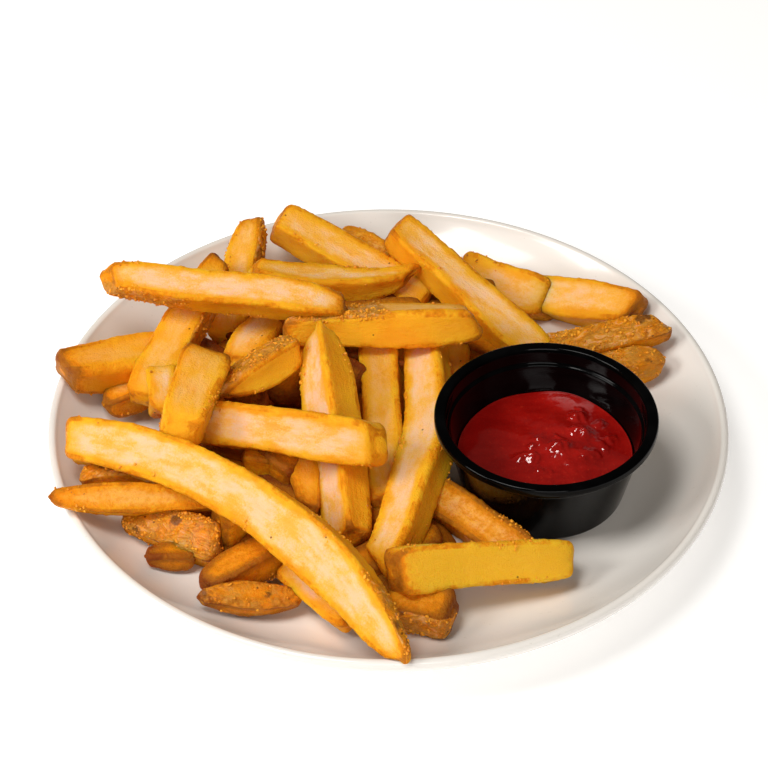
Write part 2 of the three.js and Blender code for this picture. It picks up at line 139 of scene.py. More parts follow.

# How a fry is coloured: (pale tone, lemon, browning at the start, browning at the end), each from 0 to 1. The
# pale tone is painted only on the side of the fry turned towards the lights, so it is partly painted light.
PLAIN_LOOK = (0.2, 0.1, 0.35, 0.35)
FRY_LOOKS = {
    "left_lean": (0.45, 0.2, 0.2, 0.9),
    "pale_middle": (0.8, 0.2, 0.2, 0.2),
    "left_pale": (0.9, 0.2, 0.2, 0.1),
    "back_diagonal": (0.8, 0.25, 0.5, 0.2),
    "back_curve": (1.0, 0.3, 0.2, 0.45),
    "top_left": (1.0, 0.15, 0.3, 0.75),
    "top_middle": (0.5, 0.25, 0.8, 0.45),
    "centre_upright": (1.0, 0.4, 0.15, 0.5),
    "centre_cross": (0.95, 0.2, 0.2, 0.08),
    "skin_wedge": (0.35, 0.5, 0.6, 0.4),
    "stub": (0.4, 0.3, 0.95, 0.05),
    "long_diagonal": (0.86, 0.2, 0.3, 0.5),
    "left_flat": (0.5, 0.05, 0.5, 0.6),
    "front_yellow": (0.35, 1.0, 0.65, 0.2),
    "far_left": (0.4, 0.25, 0.7, 0.1),
    "left_sliver": (0.5, 0.2, 0.3, 0.1),
    "back_upright": (0.5, 0.35, 0.75, 0.1),
    "back_left": (0.75, 0.3, 0.35, 0.1),
    "back_middle": (0.5, 0.3, 0.3, 0.1),
    "back_right": (0.7, 0.35, 0.2, 0.5),
    "far_right_back": (0.75, 0.25, 0.1, 0.7),
    "right_skin": (0.3, 0.2, 0.3, 0.8),
    "right_short": (0.3, 0.2, 0.3, 0.7),
    "left_arc": (0.2, 0.0, 0.6, 0.4),
    "left_skin": (0.3, 0.0, 0.4, 0.5),
    "left_tip": (0.05, 0.0, 0.8, 0.3),
    "under_diagonal": (0.1, 0.1, 0.2, 0.3),
    "front_wedge": (0.25, 0.15, 0.2, 0.6),
    "front_skin": (0.3, 0.1, 0.8, 0.4),
    "beside_diagonal": (0.85, 0.2, 0.6, 0.3),
    "small_orange": (0.1, 0.0, 0.2, 0.5),
    "small_upright": (0.2, 0.1, 0.2, 0.5),
    "middle_upright": (0.45, 0.45, 0.5, 0.4),
    "beside_cup": (0.8, 0.5, 0.2, 0.3),
    "cup_foot": (0.6, 0.2, 0.2, 0.3),
    "front_end": (0.3, 0.3, 0.2, 0.5),
}

# How much browner than the rest a fry is all over, from 0 to 1. This is partly real browning and partly
# painted shade: fries lying in the shade of others, such as front_wedge, front_end, cup_foot, front_skin and
# left_skin, are browned to stand for that shade.
FRY_TOASTS_AND_SHADE = {
    "front_wedge": 0.6,
    "front_skin": 0.66,
    "front_end": 0.6,
    "left_tip": 0.55,
    "left_skin": 0.4,
    "left_arc": 0.3,
    "left_flat": 0.26,
    "left_sliver": 0.3,
    "under_diagonal": 0.2,
    "small_orange": 0.3,
    "small_upright": 0.16,
    "cup_foot": 0.46,
    "right_skin": 0.2,
    "right_short": 0.2,
    "back_middle": 0.2,
    "far_left": 0.08,
    "stub": 0.03,
}

# Potato skin left on a fry: (direction round the fry in degrees, from, to, strength).
# Direction 0 is the right-hand side of somebody walking from start to end, 90 the top.
FRY_SKINS = {
    "left_lean": (5, 0.0, 1.0, 0.8),
    "back_upright": (180, -0.1, 0.7, 1.0),
    "back_middle": (125, 0.0, 0.8, 0.5),
    "back_right": (-50, 0.4, 1.1, 0.35),
    "top_left": (-15, -0.1, 0.36, 0.75),
    "top_middle": (75, -0.1, 0.5, 0.95),
    "skin_wedge": (100, -0.1, 1.1, 1.0),
    "long_diagonal": (180, 0.84, 1.1, 1.0),
    "right_skin": (75, -0.1, 1.1, 0.9),
    "right_short": (60, 0.2, 1.1, 0.8),
    "left_arc": (90, -0.1, 1.1, 0.8),
    "left_skin": (80, -0.1, 1.1, 0.8),
    "front_skin": (60, -0.1, 1.1, 0.45),
    "front_end": (20, 0.1, 1.1, 0.8),
}

# Ends that differ from a plain cut: (start reach, end reach, start slant, end slant).
# A reach is the share of the length over which the tip narrows, and a slant how far, in
# millimetres, the end leans across and upwards.
FRY_ENDS = {
    "far_left": (0.14, 0.1, (1.0, -1.0), (0, 0)),
    "left_lean": (0.1, 0.3, (0, 0), (-1.5, 0.5)),
    "back_upright": (0.22, 0.1, (0.5, 0.0), (0, 0)),
    "back_left": (0.1, 0.1, (0.5, 0.5), (0, 0)),
    "back_curve": (0.12, 0.3, (0.5, 0.5), (-3.0, 0.5)),
    "top_left": (0.3, 0.16, (1.0, 1.5), (0.5, 0.0)),
    "top_middle": (0.2, 0.1, (-1.0, 0.0), (0.8, -1.2)),
    "centre_upright": (0.1, 0.12, (2.0, -2.0), (0.6, -0.6)),
    "centre_cross": (0.1, 0.08, (0, 0), (0.8, -1.2)),
    "skin_wedge": (0.4, 0.15, (1.0, -2.0), (0.0, 1.0)),
    "stub": (0.12, 0.25, (0.0, 1.5), (0.0, -1.0)),
    "long_diagonal": (0.08, 0.1, (0.8, 0.5), (-2.0, 0.5)),
    "left_flat": (0.32, 0.32, (0, 0), (1.5, 0)),
    "front_yellow": (0.05, 0.3, (0.6, 0.8), (-0.5, 0.5)),
    "beside_cup": (0.1, 0.08, (0, 0), (-2.8, 0.5)),
    "left_arc": (0.35, 0.2, (0, 0), (0, 0)),
    "left_skin": (0.25, 0.12, (0, 0), (1.0, 0)),
    "left_tip": (0.4, 0.2, (0, 0), (0, 0)),
    "front_skin": (0.35, 0.2, (0, 0), (0, 0)),
    "beside_diagonal": (0.2, 0.3, (0, 0), (1.5, 0)),
    "small_upright": (0.1, 0.35, (0, 0), (-1.5, 0)),
    "right_skin": (0.1, 0.2, (0, 0), (1.5, 0)),
    "back_diagonal": (0.1, 0.1, (1.2, 0.8), (0, 0)),
    "front_wedge": (0.2, 0.3, (0, 0), (1.0, 0)),
}
PAINTED_LIGHT_SIDE = Vector((-0.5, 0.0, 0.87))  # the side of each fry painted palest, up and to the left towards the lights: painted light

CUP_CENTRE = Vector((43, -15.5, 0))
CUP_BASE = 8.3
CUP_TOP = 34.8
CUP_BASE_RADIUS = 22.4
CUP_MOUTH_RADIUS = 28.4
CUP_FLANGE_RADIUS = 30.6
CUP_WALL = 0.9
CUP_STEP = 28.8

PLATE_RADIUS = 95
PLATE_HEIGHT = 20
PLATE_FLOOR = 8
PLATE_FLAT_RADIUS = 70
PLATE_LIP = 2.8
# [radius, height, fillet] round the plate, from the middle of its underside to its lip.
PLATE_UNDERSIDE = [
    [0, 3.6, 0], [44, 3.6, 2], [48.5, 3.3, 1], [50, 0.3, 0.4], [50.6, 0, 0.4], [55.4, 0, 0.4],
    [56, 0.3, 0.4], [58, 2.8, 1.5], [70, 3.9, 6], [80, 6.8, 6], [88, 11.6, 5],
]
PLATE_LIP_CORNERS = [
    [94.4, 16.4, 1.6], [95, 18.4, 1], [94.6, 19.6, 0.6], [93.7, 20, 0.5], [92.8, 19.8, 0.5],
    [92.0, 18.8, 0.6],
]

AIR = 0.3  # between pieces that stand on or in each other
SAUCE_RINGS = 84
SAUCE_BOTTOM = CUP_BASE + 1.9 + AIR
CAP_DOME = 0.5  # how far the end of a fry bulges
EDGE_REACH = 0.9  # distance over which the crust on an edge breaks up
BROWNING_REACH = 3.2  # how far browning runs in from the end of a fry
LEAN_REACH = 5.5  # how far in from its end a slanted fry leans

FLOOR_REACH = 2500
CAMERA_ROLL = 0.08  # degrees
CAMERA_ASIDE = (-1.21, 9.05, 0)  # in the camera's own directions

FULL_TURN = 2 * math.pi


def smooth(low, high, value):
    """0 below low, 1 above high, and a smooth climb between them."""
    share = np.clip((np.asarray(value, float) - low) / (high - low), 0, 1)
    return share * share * (3 - 2 * share)


def new_object(name, vertices, faces):
    """A smooth-shaded object from points in millimetres, with its place in its mesh."""
    mesh = bpy.data.meshes.new(name)
    mesh.from_pydata((np.asarray(vertices) * MM).tolist(), [], faces)
    mesh.shade_smooth()
    made = bpy.data.objects.new(name, mesh)
    bpy.context.scene.collection.objects.link(made)
    return made


def band(low, high, sides):
    """Faces between two rings of points, each given by its first point."""
    turns = [(side, (side + 1) % sides) for side in range(sides)]
    return [(low + side, low + after, high + after, high + side) for side, after in turns]


def fan(ring, tip, sides):
    """Faces from a ring of points up to a tip."""
    return [(ring + side, ring + (side + 1) % sides, tip) for side in range(sides)]


def underfan(ring, tip, sides):
    """Faces from a ring of points down to a tip."""
    return [(ring + (side + 1) % sides, ring + side, tip) for side in range(sides)]


def store(mesh, name, values, kind="FLOAT"):
    """Keeps one value per point of the mesh under a name that materials can read."""
    layer = mesh.attributes.new(name, kind, "POINT")
    field = "vector" if kind == "FLOAT_VECTOR" else "value"
    layer.data.foreach_set(field, np.asarray(values, np.float32).ravel())


def dress(made, material, node_name):
    """Gives a finished piece its material and its place in the frame."""
    if made.data.materials:
        made.data.materials[0] = material
    else:
        made.data.materials.append(material)
    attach(made, "root")
    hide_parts(node_name)


# --- Shader nodes ---------------------------------------------------------------------------


def put(tree, kind, inputs=None, **settings):
    """Adds a node, with its settings and with its inputs set or linked."""
    made = tree.nodes.new(kind)
    for key, value in settings.items():
        setattr(made, key, value)
    for socket, value in (inputs or {}).items():
        if isinstance(value, bpy.types.NodeSocket):
            tree.links.new(value, made.inputs[socket])
        else:
            made.inputs[socket].default_value = value
    return made


def calc(tree, operation, first, second=0.0):
    return put(tree, "ShaderNodeMath", {0: first, 1: second}, operation=operation).outputs[0]


def times(tree, first, second):
    return calc(tree, "MULTIPLY", first, second)


def plus(tree, first, second):
    return calc(tree, "ADD", first, second)


def opposite(tree, share):
    """1 less a share."""
    return calc(tree, "SUBTRACT", 1.0, share)


def blend_colour(tree, share, first, second):
    inputs = {0: share, 6: first, 7: second}
    return put(tree, "ShaderNodeMix", inputs, data_type="RGBA", blend_type="MIX").outputs[2]


def spread(tree, value, low, high, new_low=0.0, new_high=1.0):
    """Carries a value from one range to another, smoothly and within its ends."""
    inputs = {0: value, 1: low, 2: high, 3: new_low, 4: new_high}
    return put(tree, "ShaderNodeMapRange", inputs, interpolation_type="SMOOTHSTEP").outputs[0]


def cloudy(tree, where, scale, detail=3.0, roughness=0.55, distortion=0.0):
    inputs = {"Vector": where, "Scale": scale, "Detail": detail}
    inputs |= {"Roughness": roughness, "Distortion": distortion}
    return put(tree, "ShaderNodeTexNoise", inputs).outputs[0]


def stretched(tree, where, factors):
    return put(tree, "ShaderNodeVectorMath", {0: where, 1: factors}, operation="MULTIPLY").outputs[0]


def attribute(tree, name, output="Fac"):
    return put(tree, "ShaderNodeAttribute", attribute_name=name).outputs[output]


def solid(colour):
    return (*colour, 1.0)


def blank_material(name):
    """A material with its Principled shader and the tree that holds it."""
    made = bpy.data.materials.new(name)
    made.use_nodes = True
    return made, made.node_tree, made.node_tree.nodes["Principled BSDF"]


def wire(tree, shader, colour, roughness, relief, distance, strength):
    """Feeds a finish to its shader, with its relief as a bump."""
    inputs = {"Height": relief, "Distance": distance, "Strength": strength}
    bump = put(tree, "ShaderNodeBump", inputs).outputs[0]
    for socket, value in (("Base Color", colour), ("Roughness", roughness), ("Normal", bump)):
        tree.links.new(value, shader.inputs[socket])


def set_sockets(shader, **values):
    """Sets sockets of a shader to constants; an underscore in a name stands for a space."""
    for name, value in values.items():
        shader.inputs[name.replace("_", " ")].default_value = value


def patch_group():
    """Soft patches from cloudy noise, shared by every finish: a mask from 0 to 1."""
    tree = bpy.data.node_groups.get("soft_patches")
    if tree:
        return tree
    tree = bpy.data.node_groups.new("soft_patches", "ShaderNodeTree")
    tree.interface.new_socket(name="Where", in_out="INPUT", socket_type="NodeSocketVector")
    for name, value in (("Scale", 1.0), ("Detail", 3.0), ("Low", 0.4), ("High", 0.6)):
        socket = tree.interface.new_socket(name=name, in_out="INPUT", socket_type="NodeSocketFloat")
        socket.default_value = value
    tree.interface.new_socket(name="Mask", in_out="OUTPUT", socket_type="NodeSocketFloat")
    entry = tree.nodes.new("NodeGroupInput")
    clouds = cloudy(tree, entry.outputs["Where"], entry.outputs["Scale"], entry.outputs["Detail"])
    mask = spread(tree, clouds, entry.outputs["Low"], entry.outputs["High"])
    leave = tree.nodes.new("NodeGroupOutput")
    tree.links.new(mask, leave.inputs["Mask"])
    return tree


def patches(tree, where, scale, low, high, detail=3.0):
    inputs = {"Where": where, "Scale": scale, "Detail": detail, "Low": low, "High": high}
    return put(tree, "ShaderNodeGroup", inputs, node_tree=patch_group()).outputs["Mask"]


def object_place(tree):
    return put(tree, "ShaderNodeTexCoord").outputs["Object"]


# --- Turned pieces --------------------------------------------------------------------------


def filleted(corners, steps=5):
    """A profile from [radius, height, fillet] corners, with each corner rounded by its fillet."""
    profile = []
    for index, (radius, height, fillet) in enumerate(corners):
        here = Vector((radius, height))
        if fillet <= 0 or index in (0, len(corners) - 1):
            profile.append(here)
            continue
        before = Vector(corners[index - 1][:2]) - here
        after = Vector(corners[index + 1][:2]) - here
        reach = min(fillet, 0.48 * before.length, 0.48 * after.length)
        enter, leave = here + before.normalized() * reach, here + after.normalized() * reach
        for step in range(steps + 1):
            share = step / steps
            profile.append(enter.lerp(here, share).lerp(here.lerp(leave, share), share))
    return profile


def turned(name, profile, sides, centre=Vector((0, 0, 0))):
    """A closed solid of revolution. Its profile runs anticlockwise, from the axis to the axis."""
    angles = np.arange(sides) * FULL_TURN / sides
    cosines, sines = np.cos(angles), np.sin(angles)
    vertices = [[0, 0, profile[0][1]]]
    for radius, height in profile[1:-1]:
        vertices += np.column_stack([radius * cosines, radius * sines, np.full(sides, height)]).tolist()
    vertices.append([0, 0, profile[-1][1]])
    starts = [1 + ring * sides for ring in range(len(profile) - 2)]
    faces = underfan(starts[0], 0, sides)
    for low, high in zip(starts, starts[1:]):
        faces += band(low, high, sides)
    faces += fan(starts[-1], len(vertices) - 1, sides)
    return new_object(name, np.array(vertices) + np.array(centre), faces)


def dish_height(radius):
    """Height of the dish: flat, then a wall that curves up to the lip."""
    climb = max(0, radius - PLATE_FLAT_RADIUS) / (PLATE_RADIUS - PLATE_LIP - PLATE_FLAT_RADIUS)
    return PLATE_FLOOR + (PLATE_HEIGHT - 1 - PLATE_FLOOR) * climb**2


def plate_profile():
    dish = [[radius, dish_height(radius), 0.8] for radius in np.linspace(90.6, PLATE_FLAT_RADIUS, 14)]
    floor = [[radius, PLATE_FLOOR, 0] for radius in (64, 52, 38, 24, 10, 0)]
    return filleted(PLATE_UNDERSIDE + PLATE_LIP_CORNERS + dish + floor, steps=4)


def cup_radius(height):
    """Outside radius of the cup's tapered wall at a height."""
    share = (height - CUP_BASE) / (CUP_TOP - CUP_BASE)
    return CUP_BASE_RADIUS + (CUP_MOUTH_RADIUS - CUP_BASE_RADIUS) * share


def cup_profile():
    under = CUP_TOP - 1.1
    inner_step = cup_radius(CUP_STEP) - CUP_WALL
    corners = [
        [0, CUP_BASE + 0.9, 0],
        [CUP_BASE_RADIUS - 3, CUP_BASE + 0.9, 0.5],
        [CUP_BASE_RADIUS - 2.5, CUP_BASE, 0.3],
        [CUP_BASE_RADIUS - 0.8, CUP_BASE, 0.4],
        [CUP_BASE_RADIUS, CUP_BASE + 1, 0.8],
        [cup_radius(CUP_STEP), CUP_STEP, 0.4],
        [cup_radius(CUP_STEP) + 0.6, CUP_STEP + 0.5, 0.3],
        [cup_radius(under) + 0.2, under, 0.6],
        [CUP_FLANGE_RADIUS - 0.9, under, 0.2],
        [CUP_FLANGE_RADIUS - 0.8, under - 1.2, 0.25],
        [CUP_FLANGE_RADIUS, under - 1.2, 0.25],
        [CUP_FLANGE_RADIUS, CUP_TOP - 0.1, 0.9],
        [CUP_MOUTH_RADIUS - 0.6, CUP_TOP, 0.8],
        [CUP_MOUTH_RADIUS - 1.1, CUP_TOP - 1.2, 0.5],
        [inner_step + 0.9, CUP_STEP + 1.2, 0.5],
        [inner_step + 0.1, CUP_STEP + 0.6, 0.3],
        [inner_step, CUP_STEP - 0.2, 0.4],
        [cup_radius(CUP_BASE + 3) - CUP_WALL, CUP_BASE + 3, 2],
        [CUP_BASE_RADIUS - 2.4, CUP_BASE + 1.9, 0.6],
        [0, CUP_BASE + 1.9, 0],
    ]
    return filleted(corners, steps=5)


# --- Ketchup --------------------------------------------------------------------------------

# Steep crests of ketchup whose fronts catch the light, in millimetres from the middle of the
# cup: (x, y, half length, half width, height, turn in degrees).
SAUCE_CRESTS = [
    (9.8, 13.6, 2.4, 1.7, 1.7, 10),
    (10.4, 17.0, 0.7, 0.8, 0.75, 60),
    (10.1, 6.2, 2.8, 1.5, 1.5, -8),
    (15.9, 10.6, 2.0, 1.2, 1.2, 35),
    (3.6, 3.3, 1.2, 0.7, 0.65, -25),
    (4.2, -0.2, 3.0, 1.6, 1.5, 15),
    (-4.9, -3.2, 3.6, 1.7, 1.6, -4),
    (-3.4, 0.4, 1.5, 0.8, 0.8, 30),
    (-1.8, 3.2, 0.8, 0.7, 0.6, 50),
    (12.0, -2.2, 3.0, 1.9, 1.0, 15),
    (16.0, 1.4, 2.6, 1.2, 0.75, -50),
    (18.6, 4.6, 2.2, 1.4, 0.9, 25),
    (-1.7, -8.4, 0.9, 0.7, 0.5, 0),
    (1.6, -8.8, 0.6, 0.5, 0.35, 20),
]


def sauce_crests(x, y):
    """Height of the crests at a point of the ketchup."""
    bent_x = x + 0.8 * noise.noise(Vector((x * 0.7, y * 0.7, 2.2)))
    bent_y = y + 0.8 * noise.noise(Vector((x * 0.7, y * 0.7, 6.6)))
    total = 0.0
    for middle_x, middle_y, half_length, half_width, height, turn in SAUCE_CRESTS:
        cosine, sine = math.cos(math.radians(turn)), math.sin(math.radians(turn))
        aside, ahead = bent_x - middle_x, bent_y - middle_y
        lengthways = (aside * cosine + ahead * sine) / half_length
        sideways = (ahead * cosine - aside * sine) / half_width
        total += height * math.exp(-(lengthways**4) - sideways**2)
    return total


def sauce_height(settings, x, y):
    """Height of the ketchup: a mound right of the middle, with folds where it was poured."""
    mound = math.exp(-((x - 5) ** 2 + (y - 3) ** 2) / 110)
    swirl = math.sin(0.32 * x + 0.5 * y + 1.2) * math.exp(-(x**2 + y**2) / 260)
    folded = math.exp(-((x - 3) ** 2 + (y + 4) ** 2) / 95)
    bent = noise.noise(Vector((x * 0.09, y * 0.09, 3.7)))
    folds = 0.5 - abs(noise.noise(Vector((x * 0.21 + 1.5 * bent, y * 0.3 - 1.1 * bent, 8.1))))
    ripple = noise.noise(Vector((x * 0.55, y * 0.8, 1.3)))
    relief = settings.fold_height / MM * (0.7 * folded * (folds + 0.25 * ripple) + sauce_crests(x, y))
    return settings.level / MM + 2.4 * mound + 0.4 * swirl + relief


def ketchup_surface(settings):
    """The ketchup as points and faces: its top from the middle outwards, its side, its bottom."""
    sides = settings.sides
    level = settings.level / MM

    def wall(height):
        return cup_radius(height) - CUP_WALL - AIR

    vertices = [(0, 0, sauce_height(settings, 0, 0))]
    for ring in range(1, SAUCE_RINGS + 1):
        share = ring / SAUCE_RINGS
        blend = float(smooth(0.0, 0.28, 1 - share))
        for side in range(sides):
            angle = FULL_TURN * side / sides
            direction = Vector((math.cos(angle), math.sin(angle)))
            edge = level + 0.9 * noise.noise(Vector((direction.x * 1.4, direction.y * 1.4, 5.0)))
            edge += 0.8 * math.exp(-(((angle - 1.25) / 0.35) ** 2))
            x, y = direction * wall(edge) * (1 - (1 - share) ** 1.15)
            height = edge + (sauce_height(settings, x, y) - edge) * blend
            if ring == SAUCE_RINGS:
                height = edge + 0.15
            vertices.append((x, y, height))
    lower_rings = (
        (level - 2.5, wall(level - 2.5)),
        (CUP_BASE + 3.3, wall(CUP_BASE + 3) - 0.1),
        (SAUCE_BOTTOM, 19.6),
    )
    for height, radius in lower_rings:
        for side in range(sides):
            angle = FULL_TURN * side / sides
            vertices.append((radius * math.cos(angle), radius * math.sin(angle), height))
    vertices.append((0, 0, SAUCE_BOTTOM))

    faces = []
    rings = SAUCE_RINGS + len(lower_rings)
    for ring in range(rings - 1):
        inner, outer = 1 + ring * sides, 1 + (ring + 1) * sides
        for side in range(sides):
            following = (side + 1) % sides
            faces.append((inner + side, outer + side, outer + following, inner + following))
    last = 1 + (rings - 1) * sides
    for side in range(sides):
        following = (side + 1) % sides
        faces.append((1 + side, 1 + following, 0))
        faces.append((last + following, last + side, len(vertices) - 1))
    return np.array(vertices) + np.array(CUP_CENTRE), faces


# --- Fries ----------------------------------------------------------------------------------

CORNER_POINTS = 4
FLAT_POINTS = 6


def ring_layout():
    """For each point round a fry: its corner, how far it is on to the next, and its direction."""
    corners, shares, angles = [], [], []
    for corner in range(4):
        for step in range(CORNER_POINTS + 1):
            corners.append(corner)
            shares.append(0.0)
            angles.append(math.pi / 2 * (corner + step / CORNER_POINTS))
        for step in range(1, FLAT_POINTS):
            corners.append(corner)
            shares.append(step / FLAT_POINTS)
            angles.append(math.pi / 2 * (corner + 1))
    return np.array(corners), np.array(shares), np.array(angles)


def fry_stations(length, rounding, spacing):
    """Rings along a fry: how far along, how much drawn in, and the share of the end face."""
    turns = [math.pi / 2 * step / 5 for step in range(6)]
    opening = [(-CAP_DOME * (1 - share**2), rounding[0], share) for share in (0.4, 0.75)]
    for turn in turns:
        opening.append((rounding[0] * (1 - math.cos(turn)), rounding[0] * (1 - math.sin(turn)), 1.0))
    middle = length - rounding[0] - rounding[1]
    count = max(6, round(middle / spacing))
    body = [(rounding[0] + middle * step / count, 0.0, 1.0) for step in range(1, count)]
    closing = [
        (length - rounding[1] * (1 - math.cos(turn)), rounding[1] * (1 - math.sin(turn)), 1.0)
        for turn in reversed(turns)
    ]
    closing += [(length + CAP_DOME * (1 - share**2), rounding[1], share) for share in (0.75, 0.4)]
    return opening + body + closing


def skin_share(skin, direction, t, border):
    """How much potato skin there is in a direction round the fry, with an uneven border."""
    facing = math.cos(direction - math.radians(skin[0])) + 0.3 * border
    lengthwise = t + 0.07 * border
    begun = smooth(skin[1] - 0.05, skin[1] + 0.05, lengthwise)
    ended = smooth(skin[2] - 0.05, skin[2] + 0.05, lengthwise)
    return float(smooth(0.3, 0.7, facing) * begun * (1 - ended)) * skin[3]


def lay_fry(row, index, spacing, settings, extra_toast_and_shade):
    """One fry: a bar with crisp edges, slanted ends and skin, as points, faces and colour values.

    The extra browning passed in is added to the fry's own row of extra toast; for the fries underneath and
    the filling it is painted shade. Each point's colour values are those
    that heap_of stores: pale tone (partly painted light), lemon, toast (partly painted shade), skin,
    crumbling, edge_gap and the grain.
    """
    name, start, end, (width, depth), roll, (bow_side, bow_up), (tip_start, tip_end) = row
    chance = random.Random(settings.seed + 97 * index)
    pale, lemon, brown_start, brown_end = FRY_LOOKS.get(name, PLAIN_LOOK)
    skin = FRY_SKINS.get(name)
    extra_toast_and_shade += FRY_TOASTS_AND_SHADE.get(name, 0.0)
    chance_slants = [(chance.uniform(-1.2, 1.2), chance.uniform(-1.4, 1.4)) for _ in range(2)]
    reach_start, reach_end, *slants = FRY_ENDS.get(name, (FRY_TIP_REACH, FRY_TIP_REACH, *chance_slants))
    start, along = Vector(start), Vector(end) - Vector(start)
    length = along.length
    up = Vector((0, 0, 1))
    bow = up.cross(along).normalized() * bow_side
    bow += along.cross(up).cross(along).normalized() * bow_up
    twist = math.radians(chance.uniform(-9, 9))
    rounding = [chance.uniform(1.3, 2.2) * (0.75 + 0.5 * tip) for tip in (tip_start, tip_end)]
    radii = np.array([chance.uniform(0.14, 0.36) for _ in range(4)]) * min(width, depth) / 2
    offset = Vector([chance.uniform(-60, 60) for _ in range(3)])
    sag = chance.uniform(0.15, 0.4)
    stations = fry_stations(length, rounding, spacing)

    corner, share, angle = ring_layout()
    across_unit, above_unit = np.cos(angle), np.sin(angle)
    sign_x = np.array([1, -1, -1, 1])
    sign_y = np.array([1, 1, -1, -1])
    following = (corner + 1) % 4
    hollow = 4 * share * (1 - share)
    points, colours = [], []
    for reach, drawn_in, cap_share in stations:
        t = reach / length
        inside = min(1.0, max(0.0, t))
        narrowing = (1 - tip_start) * math.exp(-inside / reach_start)
        narrowing += (1 - tip_end) * math.exp((inside - 1) / reach_end)
        thickness = 1 - narrowing + FRY_WOBBLE * math.sin(2.4 * index + 8 * inside)
        wander = noise.noise(offset + Vector((0, 0, reach * 0.045)))
        half_width = max(0.6, width * thickness / 2 * (1 + 0.08 * wander) - drawn_in)
        half_depth = max(0.6, depth * thickness / 2 * (1 - 0.08 * wander) - drawn_in)
        rounded = np.minimum(radii, 0.9 * min(half_width, half_depth))
        here_x = sign_x[corner] * (half_width - rounded[corner]) + rounded[corner] * across_unit
        here_y = sign_y[corner] * (half_depth - rounded[corner]) + rounded[corner] * above_unit
        next_x = sign_x[following] * (half_width - rounded[following]) + rounded[following] * across_unit
        next_y = sign_y[following] * (half_depth - rounded[following]) + rounded[following] * above_unit
        x = here_x + (next_x - here_x) * share
        y = here_y + (next_y - here_y) * share
        gap = np.minimum(share, 1 - share) * np.hypot(next_x - here_x, next_y - here_y)
        edge = np.exp(-gap / EDGE_REACH)
        tangent = (along + bow * (4 * (1 - 2 * inside))).normalized()
        across = tangent.cross(up).normalized()
        across = Matrix.Rotation(math.radians(roll) + twist * (inside - 0.5), 3, tangent) @ across
        above = across.cross(tangent)
        centre = start + along * t + bow * (4 * inside * (1 - inside))
        centre += across * (1.1 * noise.noise(offset + Vector((7, 0, reach * 0.035))))
        centre += above * (0.8 * noise.noise(offset + Vector((0, 9, reach * 0.035))))
        from_start, from_end = max(0.0, reach), max(0.0, length - reach)
        nearest = min(from_start, from_end)
        end_rim = math.exp(-((nearest - CAP_DOME) ** 2) / 1.3)
        # Browning at the ends, plus the extra browning passed in, which is partly painted shade.
        browning_and_shade = brown_start * math.exp(-from_start / BROWNING_REACH)
        browning_and_shade += brown_end * math.exp(-from_end / BROWNING_REACH) + extra_toast_and_shade
        end_fade = float(smooth(0.0, 8.0, nearest))
        on_cap = cap_share < 1
        rim_gap = (1 - cap_share) * min(half_width, half_depth) if on_cap else abs(nearest - CAP_DOME)
        for spot in range(len(x)):
            px, py = x[spot] * cap_share, y[spot] * cap_share
            ux, uy = across_unit[spot], above_unit[spot]
            grain = Vector((px, py, reach)) * 0.1 + offset
            border = noise.noise(grain * 2.2)
            skinned = skin_share(skin, angle[spot], t, border) if skin else 0.0
            lump = 0.34 * noise.noise(grain * 0.8) + 0.1 * noise.noise(grain * 2.6)
            ragged = max(0.0, noise.noise(grain * 6.5) + 0.1) * edge[spot]
            wrinkled = abs(noise.noise(Vector((grain.x * 5, grain.y * 5, grain.z * 3.4))))
            push = lump - sag * hollow[spot] * (1 - skinned) + 0.4 * ragged
            push += skinned * (0.3 - 1.2 * wrinkled + 0.5 * hollow[spot])
            if on_cap:
                push = 0.0
            shift = 0.0
            for gone, (slant_x, slant_y) in ((from_start, slants[0]), (from_end, slants[1])):
                lean = slant_x * px / half_width + slant_y * py / half_depth
                shift += lean * math.exp(-((gone / LEAN_REACH) ** 2))
            point = centre + across * (px + ux * push) + above * (py + uy * push) + tangent * shift
            outward = across * ux + above * uy
            if on_cap:
                outward = tangent * (-1 if reach < length / 2 else 1)
            # Painted light: the fry's pale tone is painted only on faces turned up and to the left, towards
            # the lights, and fades on faces turned away.
            facing = float(smooth(0.3, 0.85, outward.dot(PAINTED_LIGHT_SIDE)))
            pale_and_painted_light = pale * facing * (0.3 + 0.7 * end_fade)
            broken = float(smooth(0.05, 0.5, noise.noise(grain * 0.55)))
            crumbly = edge[spot] * broken * (1 - end_rim) + 0.8 * skinned
            edge_gap = rim_gap if on_cap else min(gap[spot], rim_gap)
            points.append(point)
            colours.append((pale_and_painted_light, lemon, browning_and_shade, skinned, crumbly, edge_gap, *grain))
    around, rings = len(angle), len(stations)
    faces = []
    for ring in range(rings - 1):
        faces += band(ring * around, (ring + 1) * around, around)
    for ring, reach in ((0, -CAP_DOME), (rings - 1, length + CAP_DOME)):
        ring_points = points[ring * around : (ring + 1) * around]
        points.append(sum(ring_points, Vector((0, 0, 0))) / around)
        shade = colours[ring * around]
        colours.append((*shade[:5], min(width, depth) / 2, *(offset + Vector((0, 0, reach * 0.1)))))
        centre_point = len(points) - 1
        for side in range(around):
            after = (side + 1) % around
            first, second = ring * around + side, ring * around + after
            faces.append((centre_point, second, first) if ring == 0 else (centre_point, first, second))
    return np.array(points), faces, np.array(colours)


